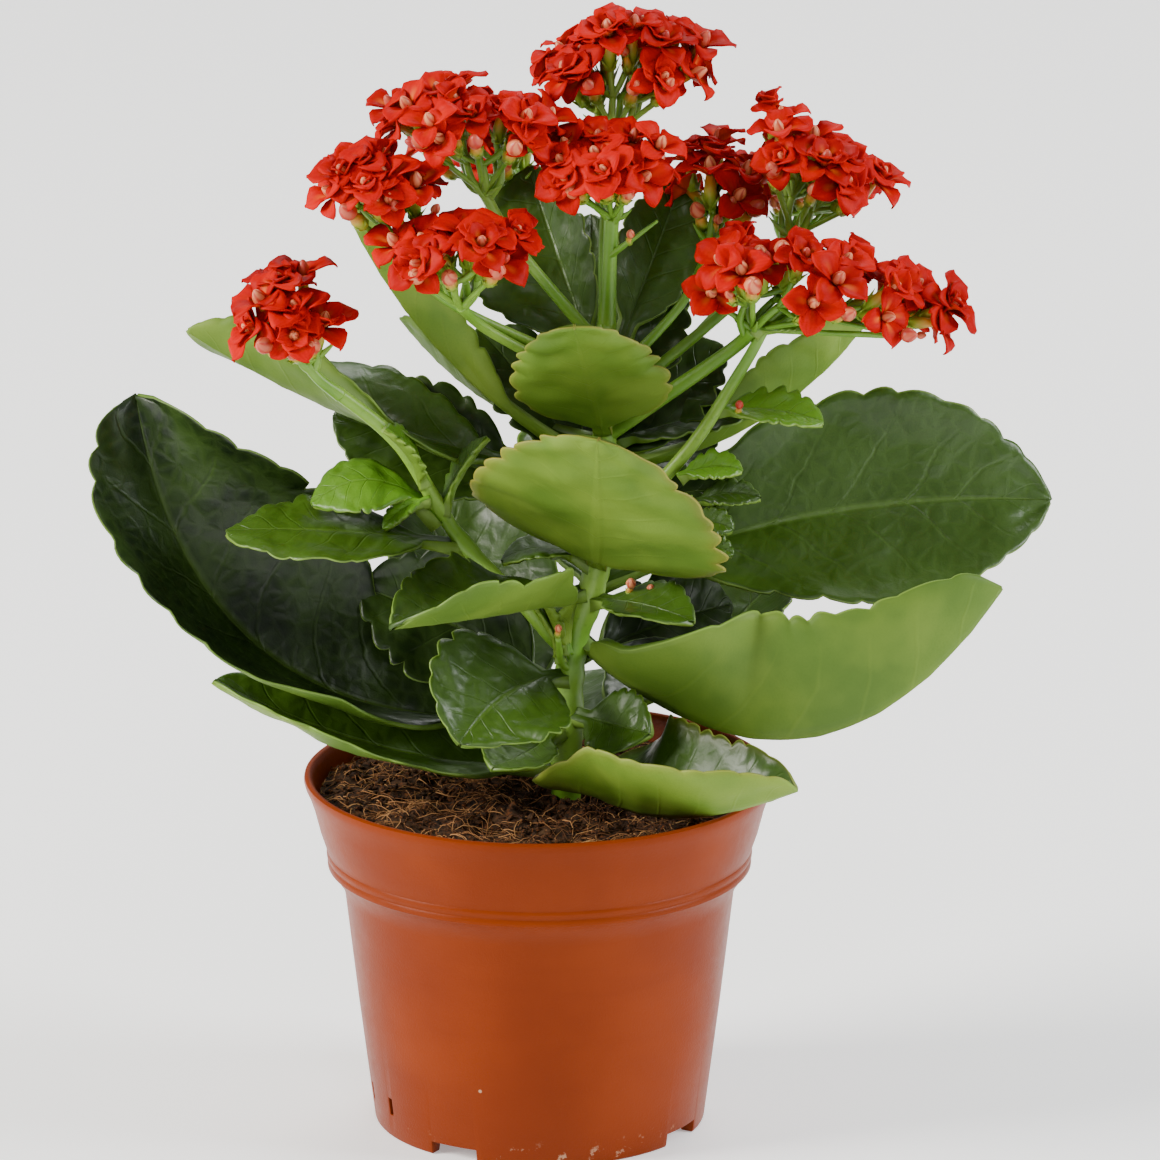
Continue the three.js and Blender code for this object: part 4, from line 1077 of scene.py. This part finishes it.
def calyxTube(length, radius):  # the flower's tube, swollen at its foot, with four pointed sepals
    bpy.ops.mesh.primitive_cylinder_add(vertices=8, radius=1, depth=1, end_fill_type="NGON", calc_uvs=True)
    tube = bpy.context.object
    tube.data.uv_layers[0].name = "blade"
    bpy.ops.object.mode_set(mode="EDIT")
    bpy.ops.mesh.select_all(action="SELECT")
    bpy.ops.mesh.subdivide(number_cuts=1)
    bpy.ops.object.mode_set(mode="OBJECT")
    for vertex in tube.data.vertices:
        high = vertex.co.z + 0.5
        swell = 0.55 + 0.75 * math.exp(-((high - 0.25) / 0.28) ** 2)
        vertex.co.x *= radius * swell
        vertex.co.y *= radius * swell
        vertex.co.z = (high - 1) * length
    parts = [tube]
    tall = min(flower["sepalLength"], length * 0.8)
    for k in range(4):
        bpy.ops.mesh.primitive_cone_add(vertices=4, radius1=flower["sepalWidth"], radius2=0.0, depth=tall,
                                        calc_uvs=True)
        sepal = bpy.context.object
        sepal.data.uv_layers[0].name = "blade"
        lean = Matrix.Rotation(math.radians(flower["sepalLean"]), 3, "Y")
        spin = Matrix.Rotation(math.radians(45 + 90 * k), 3, "Z")
        for vertex in sepal.data.vertices:
            along = vertex.co.z / tall + 0.5
            flat = Vector((vertex.co.x * 0.45, vertex.co.y, vertex.co.z + tall / 2))
            bent = lean @ flat + Vector((0.63 * radius - 0.9 * along ** 2, 0, -0.95 * length))
            vertex.co = spin @ bent
        parts.append(sepal)
    for part in parts:
        skinned(part, 3)
    return joined(parts)


def buildBloom(name, layers):  # one flower with its tube, facing +Z, in mm, its petals' throat at the origin
    parts = []
    for layer in layers:
        for k in range(layer["count"]):
            bpy.ops.mesh.primitive_grid_add(x_subdivisions=flower["rows"], y_subdivisions=flower["columns"],
                                            size=2, calc_uvs=True)
            petal = bpy.context.object
            petal.data.uv_layers[0].name = "blade"
            stray = 9 * math.sin(5 * k + layer["tilt"])
            angle = math.radians(layer["turn"] + 360 / layer["count"] * k + stray)
            spin = Matrix.Rotation(angle, 3, "Z")
            odd = math.sin(3 * k + layer["turn"] + layer["count"])
            uneven = dict(layer, tilt=layer["tilt"] + 14 * odd, size=layer["size"] * (1 + 0.07 * odd),
                          phase=4 * odd)
            for vertex in petal.data.vertices:
                u, v = (vertex.co.x + 1) / 2, -vertex.co.y
                vertex.co = spin @ petalPoint(u, v, uneven)
            skinned(petal, 0)
            applyModifier(petal, "SOLIDIFY", thickness=flower["thick"], offset=0.0, material_offset=1)
            parts.append(petal)
    parts.append(closedBud(flower["budRadius"], flower["budLength"]))
    parts.append(calyxTube(flower["tubeLength"], flower["tubeRadius"]))
    bloom = joined(parts)
    bloom.name = name
    bpy.ops.object.shade_smooth()
    return bloom


def buildShutBud(name, radius, length):  # a flower still shut: its bud on a short green tube
    bud = joined([closedBud(radius, length), calyxTube(flower["tubeLength"] * 0.5, radius * 0.85)])
    bud.name = name
    bpy.ops.object.shade_smooth()
    return bud


bloomMeshes = {name: buildBloom(name, layers) for name, layers in bloomKinds.items()}
shutBud = buildShutBud("shutBud", *flower["plumpBud"])
greenBud = buildShutBud("smallBud", *flower["smallBud"])
print("blooms modelled")

# The same numbers as the plant's solids have, in mm, apart from the via and hub of head_h, whose fork stands
# further left here, as in the photograph.
heads = {
    "head_left": dict(on="left_stem", z=171.5, via=(-48, -14.5, 175), hub=(-51, -15, 179),
                      centre=(-54, -15, 193), spread=(8, 7), tiers=11, flowers=6, stalk=1.5),
    "head_a": dict(on="main_stem", z=172, via=(-18, -9, 190), hub=(-28, -9, 200),
                   centre=(-35, -12.5, 220.5), spread=(10.5, 6), tiers=5, flowers=7, stalk=1.2),
    "head_b": dict(on="main_stem", z=168, via=(-10, -9, 184), hub=(-17, -16, 192), centre=(-18, -22, 208),
                   spread=(15, 7), tiers=4, flowers=8, stalk=1.3),
    "head_c": dict(on="main_stem", z=177, via=(-4, 0, 200), hub=(-12, -2, 214), centre=(-15, -4, 233),
                   spread=(18, 10), tiers=5, flowers=11, stalk=1.4),
    "head_d": dict(on="main_stem", z=184, via=(15.5, -2, 198), hub=(16, -4, 209), centre=(14.5, -7, 224),
                   spread=(13, 8), tiers=5, flowers=10, stalk=1.9),
    "head_e": dict(on="main_stem", z=182, via=(14.5, 1.6, 204), hub=(17, 12, 224), centre=(19, 16, 243),
                   spread=(16.5, 10), tiers=9, flowers=15, stalk=1.5),
    "head_f": dict(on="main_stem", z=170, via=(31, -1, 188), hub=(38, 8, 200), centre=(41, 16, 215),
                   spread=(9, 7), tiers=9, flowers=6, stalk=1.2),
    "head_g": dict(on="main_stem", z=164, via=(44, 5, 188), hub=(56, 6, 202), centre=(61, 9, 221),
                   spread=(15, 9), tiers=7, slope=0.42, flowers=10, stalk=1.3),
    "head_h": dict(on="main_stem", z=158, via=(40.5, -4, 177.5), hub=(47, -8, 184.5), centre=(63, -13, 200),
                   spread=(28, 12), tiers=7, slope=0.3, flowers=17, stalk=1.8),
    "head_back_left": dict(on="main_stem", z=166, via=(10, 24, 190), hub=(-6, 32, 206),
                           centre=(-14, 34, 219), spread=(13, 10), tiers=4, flowers=7, stalk=1.3),
    "head_back_right": dict(on="main_stem", z=158, via=(44, 26, 184), hub=(56, 32, 196),
                            centre=(60, 35, 210), spread=(13, 10), tiers=4, flowers=7, stalk=1.3),
}
headForm = {  # mm, shares and counts
    "branches": 3,
    "branch": 0.8,
    "pedicel": 0.55,
    "slim": 0.86,
    "sides": 8,
    "bracts": 4,
    "extra": 0.45,
    "roundBuds": 3,
    "smallBuds": 1,
    "kindShares": (5, 4, 4, 4, 1),
    "bloomSize": (0.92, 1.12),
    "smallBudSize": (0.85, 1.1),
    "roundBudSize": (0.8, 1.1),
}


goldenAngle = 2.39996  # radians from one flower to the next, so that they spread evenly


def golden(i, k):  # an even scatter of shares between 0 and 1, the same one each time
    return ((i + 1) * (0.618034, 0.754878)[k]) % 1


def flowersOf(head):  # each flower's place and facing, spiralling out from the head's middle
    hub = Vector(head["hub"])
    made = []
    for i in range(head["flowers"]):
        share = (i + 0.5) / head["flowers"]
        angle = i * goldenAngle + head["centre"][0]
        x = head["spread"][0] * math.sqrt(share) * math.cos(angle)
        y = head["spread"][1] * math.sqrt(share) * math.sin(angle)
        z = head["tiers"] * (golden(i, 0) - 0.5) - 0.3 * head["spread"][1] * share - head.get("slope", 0) * x
        place = Vector(head["centre"]) + Vector((x, y, z))
        facing = (place - hub).normalized() + up * 0.5
        facing = (facing + Vector((0, -0.35, 0))).normalized()
        made.append((place, facing, 2 * math.pi * golden(i, 1)))
    return made


def placeMesh(bm, source, place, facing, turn, size, tone):
    layer = bm.verts.layers.float.get("shade") or bm.verts.layers.float.new("shade")
    before = len(bm.verts)
    bm.from_mesh(source.data)
    bm.verts.ensure_lookup_table()
    aim = facing.to_track_quat("Z", "Y").to_matrix() @ Matrix.Rotation(turn, 3, "Z")
    for k in range(before, len(bm.verts)):
        bm.verts[k].co = toFrame(place + aim @ (bm.verts[k].co * size))
        bm.verts[k][layer] = tone


def addStalk(bm, start, bend, end, thick, toThick):
    middle = (thick + toThick) / 2
    path = smoothPath([(*start, thick), (*bend, middle), (*end, toThick)], 4)
    addTube(bm, path, headForm["sides"])


def fillersOf(head, rng):  # lower flowers round the head's skirt, below the ones that spiral over its top
    hub, centre = Vector(head["hub"]), Vector(head["centre"])
    made = []
    count = round(head["flowers"] * headForm["extra"])
    for i in range(count):
        angle = 2 * math.pi * (i + rng.uniform(0.2, 0.8)) / count
        x = head["spread"][0] * 0.82 * math.cos(angle)
        y = head["spread"][1] * 0.82 * math.sin(angle)
        z = -head["tiers"] * 0.5 - rng.uniform(0.5, 3.0) - head.get("slope", 0) * x
        place = centre + Vector((x, y, z))
        outward = Vector((0.8 * math.cos(angle), 0.8 * math.sin(angle) - 0.3, 0.1))
        facing = ((place - hub).normalized() + outward).normalized()
        made.append((place, facing, rng.uniform(0, 6.28)))
    return made


def addBracts(stalks, hub, rng):  # narrow bracts where the head forks
    for k in range(headForm["bracts"]):
        angle = 2.4 * k + rng.uniform(0, 1)
        lean = Vector((math.cos(angle), math.sin(angle), rng.uniform(0.2, 0.9))).normalized()
        tip = hub + lean * rng.uniform(5, 9)
        points = [(*hub, 0.8), (*hub.lerp(tip, 0.5), 0.75), (*(tip + up * 1.5), 0.12)]
        addTube(stalks, smoothPath(points, 3), 5)


def addFlower(blooms, stalks, fork, member, rng):
    place, facing, turn = member
    throat = place + facing * 1.2
    kind = rng.choices(list(bloomKinds), weights=headForm["kindShares"])[0]
    size = rng.uniform(*headForm["bloomSize"])
    placeMesh(blooms, bloomMeshes[kind], throat, facing, turn, size, rng.random() ** 2)
    base = throat - facing * flower["tubeLength"]
    bend = fork.lerp(base, 0.5) + Vector((0, 0, -0.4))
    addStalk(stalks, fork, bend, base, headForm["pedicel"] * 1.2, headForm["pedicel"] * 1.4)


def addSmallBud(blooms, stalks, fork, members, hub, rng):
    place, _, _ = rng.choice(members)
    spot = hub + (place - hub) * rng.uniform(0.72, 0.9)
    spot += Vector((rng.uniform(-5, 5), rng.uniform(-6, 2), rng.uniform(-3, 1)))
    aim = (spot - fork + up * 4).normalized()
    size = rng.uniform(*headForm["smallBudSize"])
    placeMesh(blooms, greenBud, spot, aim, 0.0, size, rng.uniform(0.2, 0.8))
    base = spot - aim * flower["tubeLength"] * 0.4
    addStalk(stalks, fork, fork.lerp(base, 0.5), base, headForm["pedicel"], headForm["pedicel"])


def addRoundBuds(blooms, stalks, head, hub, rng):  # plump buds at the front of the head's lower edge
    wide, deep = head["spread"]
    count = headForm["roundBuds"]
    for k in range(count):
        across = wide * 0.75 * ((k + rng.uniform(0.25, 0.75)) / count * 2 - 1)
        drop = head["tiers"] * 0.5 + rng.uniform(2.5, 5.0) + head.get("slope", 0) * across
        spot = Vector(head["centre"]) + Vector((across, -deep * 0.75 - 2.0, -drop))
        aim = (spot - hub + Vector((0, -5, 3))).normalized()
        turn = rng.uniform(0, 6.28)
        size = rng.uniform(*headForm["roundBudSize"])
        placeMesh(blooms, shutBud, spot, aim, turn, size, rng.uniform(0.25, 0.8))
        base = spot - aim * flower["tubeLength"] * 0.45
        addStalk(stalks, hub, hub.lerp(base, 0.5), base, headForm["pedicel"], headForm["pedicel"] * 1.3)


def buildHead(name, head, seed):  # a peduncle that forks into branches, each with three or four flowers
    rng = random.Random(seed)
    blooms = bmesh.new()
    stalks = bmesh.new()
    hub, via = Vector(head["hub"]), Vector(head["via"])
    foot, _, _ = stemAt(head["on"], min(head["z"], stems[head["on"]][-1][2] - 0.5))
    thick = head["stalk"] * headForm["slim"]
    peduncle = smoothPath([(*foot, head["stalk"] * 1.1), (*via, thick), (*hub, thick * 1.05)], 10)
    addTube(stalks, peduncle, 12)
    addBracts(stalks, hub, rng)
    spiral = flowersOf(head)
    everyBloom = spiral + fillersOf(head, rng)
    centre = sum((place for place, _, _ in spiral), Vector()) / len(spiral)
    order = sorted(everyBloom, key=lambda item: math.atan2(item[0].y - centre.y, item[0].x - centre.x))
    groups = max(headForm["branches"], len(order) // 3)
    for g in range(groups):
        members = order[g * len(order) // groups:(g + 1) * len(order) // groups]
        middle = sum((place for place, _, _ in members), Vector()) / len(members)
        root = hub - (hub - via).normalized() * rng.uniform(0.0, 3.0)
        fork = root.lerp(middle, 0.42) + Vector((0, 0, 1.0))
        bow = root.lerp(fork, 0.5) + (middle - centre).normalized() * 1.2
        addStalk(stalks, root, bow, fork, headForm["branch"] * 1.2, headForm["branch"])
        for member in members:
            addFlower(blooms, stalks, fork, member, rng)
        for _ in range(headForm["smallBuds"]):
            addSmallBud(blooms, stalks, fork, members, hub, rng)
    addRoundBuds(blooms, stalks, head, hub, rng)
    pieceFromBmesh(stalks, name + "_stalks", [stemSkin], name)
    pieceFromBmesh(blooms, name + "_flowers", flowerSkins, name)


for number, (headName, headShape) in enumerate(heads.items()):
    buildHead(headName, headShape, 100 + number)
print("flower heads made")


# side shoots: small leaves, twigs and single buds that are too slight for the plant's solids, and dark
# leaves that fill the middle of the plant
sideLeaves = [  # start, length and width in mm, angles in degrees
    dict(start=(39, -5, 165), heading=-10, rise=-4, length=24, width=14, roll=(-25, -25), youthAndPaintedLight=0.9),
    dict(start=(31, -6, 150), heading=-5, rise=8, length=14, width=9.5, roll=(-35, -35), youthAndPaintedLight=0.9),
    dict(start=(34, -6, 144), heading=0, rise=5, length=15, width=8, roll=(-40, -40), youthAndPaintedLight=0.3),
    dict(start=(33, -8, 139), heading=-10, rise=0, length=10, width=8, roll=(-45, -45), youthAndPaintedLight=0.5),
    dict(start=(32, -8, 134), heading=-8, rise=-4, length=11, width=7, roll=(-45, -45), youthAndPaintedLight=0.6),
    dict(start=(17, 1, 156), heading=5, rise=12, length=32, width=16, roll=(-30, -30), youthAndPaintedLight=0.15),
    dict(start=(16, 2, 150), heading=26, rise=42, length=37, width=24, roll=(-40, -40), youthAndPaintedLight=0.25),
    dict(start=(16, 2, 160), heading=36, rise=55, length=34, width=19, roll=(-40, -40), youthAndPaintedLight=0.2),
    dict(start=(3, 1.5, 101), heading=170, rise=24, length=48, width=34, roll=(58, 62), youthAndPaintedLight=0.1),
    dict(start=(10, 2.5, 106), heading=34, rise=8, length=40, width=26, roll=(-62, -62), youthAndPaintedLight=0.15),
    dict(start=(15.5, -1.5, 141), heading=-2, rise=10, length=30, width=14, roll=(-50, -50), youthAndPaintedLight=0.2),
    dict(start=(47, -9, 184), heading=-12, rise=10, length=14, width=5.5, roll=(-50, -50), youthAndPaintedLight=0.8),
    dict(start=(4.5, -4, 108), heading=-140, rise=70, length=16, width=7, roll=(20, 20), youthAndPaintedLight=0.8),
    dict(start=(6, -5, 109), heading=-60, rise=75, length=15, width=6, roll=(-20, -20), youthAndPaintedLight=0.9),
    dict(start=(5, -4, 107), heading=170, rise=62, length=17, width=6, roll=(10, 10), youthAndPaintedLight=0.7),
    dict(start=(-25, -10, 149), heading=-150, rise=55, length=18, width=13, roll=(20, 20), youthAndPaintedLight=0.85),
    dict(start=(-21, -8, 142), heading=10, rise=60, length=20, width=10, roll=(0, 0), youthAndPaintedLight=0.7),
    dict(start=(-24, -10, 146), heading=-165, rise=-30, length=12, width=6, roll=(30, 30), youthAndPaintedLight=1.0),
    dict(start=(10, 1.5, 150), heading=146, rise=44, length=40, width=22, roll=(42, 42), youthAndPaintedLight=0.35),
]
sideForm = {  # what the side leaves have in common
    "teeth": 5,
    "fold": (12, 12),
    "cup": 16,
    "arch": 1.5,
    "petiole": 1.0,
    "stalk": 0.12,
    "notch": 2.4,
}
twigs = [  # (x, y, z, radius) in mm
    [(14, -1, 134, 1.6), (33, -4, 156, 1.5), (45, -7, 176, 1.3), (51, -9, 187, 1.1), (58, -11, 193, 0.8)],
    [(13.5, -1, 131, 1.2), (24, -5, 138, 1.1), (33, -6, 146, 0.9)],
    [(33, -6, 146, 0.9), (34, -7, 140, 0.8), (32, -8, 134, 0.7)],
    [(12, -2, 120, 0.9), (17, -6, 122, 0.7), (20.2, -8, 124, 0.6)],
    [(17, -6, 122, 0.7), (21, -7, 122.5, 0.6), (24.6, -8, 123, 0.6)],
    [(7.5, -1, 104, 1.1), (5, -4, 107, 1.0), (4.2, -9, 114, 0.6)],
    [(47, -8, 184.5, 0.9), (43, -9, 188, 0.7), (39.5, -10, 190.5, 0.7)],
    [(15.5, -3, 200, 0.9), (20, -5.5, 204, 0.6), (26, -7, 209, 0.35)],
]
sideBuds = [  # place in mm, size and how red
    dict(place=(44, -9, 167), size=0.5, red=0.9), dict(place=(20.2, -8, 125.5), size=0.62, red=0.1),
    dict(place=(24.6, -8, 124.3), size=0.55, red=0.2), dict(place=(4.2, -10, 116), size=0.45, red=0.0),
    dict(place=(43.5, -15, 201), size=1.0, red=0.2), dict(place=(48, -15, 202), size=1.05, red=0.15),
    dict(place=(53, -15, 203.5), size=0.95, red=0.3), dict(place=(20, -6, 205), size=0.5, red=0.4),
]
loneFlower = dict(place=(38, -12, 194), facing=(-0.1, -0.9, 0.35), turn=0.5, kind="simpleFive", size=1.0,
                  red=0.1)


def buildSideShoots():
    grown = [growLeaf(dict(sideForm, **leaf), 300 + k * 3.7, 0.0) for k, leaf in enumerate(sideLeaves)]
    finishPiece(joined(grown), "sideShootLeaves")
    wood = bmesh.new()
    for twig in twigs:
        addTube(wood, smoothPath(twig, 5), headForm["sides"])
    pieceFromBmesh(wood, "sideShootTwigs", [stemSkin])
    blooms = bmesh.new()
    leaning = Vector((0.1, -0.5, 0.85)).normalized()
    for bud in sideBuds:
        placeMesh(blooms, shutBud, Vector(bud["place"]), leaning, 0.0, bud["size"], bud["red"])
    placeMesh(blooms, bloomMeshes[loneFlower["kind"]], Vector(loneFlower["place"]),
              Vector(loneFlower["facing"]).normalized(), loneFlower["turn"], loneFlower["size"],
              loneFlower["red"])
    pieceFromBmesh(blooms, "sideShootFlowers", flowerSkins)


buildSideShoots()
for model in [*bloomMeshes.values(), shutBud, greenBud]:
    bpy.data.objects.remove(model)
print("side shoots made")


view = {  # degrees and mm; the target is measured from the pot's axis
    "elevation": 16.7,
    "distance": 2500.0,
    "target": (9.06, 0.0, 124.8),
    "lens": 349.9,
    "sensor": 36.0,
}


def addCamera():
    tilt = math.radians(view["elevation"])
    target = toFrame(view["target"])
    back = Vector((0, -math.cos(tilt), math.sin(tilt)))
    data = bpy.data.cameras.new("photoCamera")
    data.lens = view["lens"]
    data.sensor_width = view["sensor"]
    data.clip_end = 50.0
    camera = bpy.data.objects.new("photoCamera", data)
    bpy.context.collection.objects.link(camera)
    camera.location = target + back * view["distance"] * mm
    camera.rotation_euler = (math.pi / 2 - tilt, 0, 0)
    bpy.context.scene.camera = camera


studio = {
    "paper": "#FAFAF9",
    "white": "#FFFFFF",
    "glow": 0.35,
    "sky": 0.3,
    "width": 12.0,  # metres
    "below": 0.1,  # mm
    "aim": (0, 0, 0.13),  # metres, where the lights point
}


def addFloor():
    # the photograph's white ground, as a sheet of pale paper that glows a little, just under the pot
    bpy.ops.mesh.primitive_plane_add(size=studio["width"], location=(0, 0, potLow.z - studio["below"] * mm))
    floor = bpy.context.object
    floor.name = "studioFloor"
    paper, _, _ = newMaterial("paleStudioPaper", {
        "Base Color": studio["paper"], "Roughness": 0.8, "Specular IOR Level": 0.1,
        "Emission Color": studio["white"], "Emission Strength": studio["glow"]})
    floor.data.materials.append(paper)
    bpy.ops.object.select_all(action="DESELECT")


lights = {  # soft boxes: size in metres, place, power in watts and colour
    "left": dict(size=1.0, place=(-2.0, -0.5, 1.2), power=108, color="#FFFBF4"),
    "right": dict(size=0.9, place=(2.0, -0.35, 1.1), power=64, color="#FAFCFF"),
    "front": dict(size=0.45, place=(0.25, -1.8, 1.7), power=9, color="#FFFFFF"),
    "behind": dict(size=1.0, place=(0.3, 1.3, 1.7), power=24, color="#FFFFFF"),
}


def addLights():
    aim = Vector(studio["aim"])
    for name, light in lights.items():
        data = bpy.data.lights.new(name, "AREA")
        data.size = light["size"]
        data.energy = light["power"]
        data.color = linear(light["color"])[:3]
        lamp = bpy.data.objects.new(name + "Box", data)
        bpy.context.collection.objects.link(lamp)
        lamp.location = light["place"]
        lamp.rotation_euler = (aim - lamp.location).to_track_quat("-Z", "Y").to_euler()
    world = bpy.data.worlds.new("studioWorld")
    bpy.context.scene.world = world
    world.use_nodes = True
    sky = world.node_tree.nodes["Background"]
    setInputs(world.node_tree, sky, {"Color": studio["white"], "Strength": studio["sky"]})


addCamera()
addFloor()
addLights()
print("scene ready")
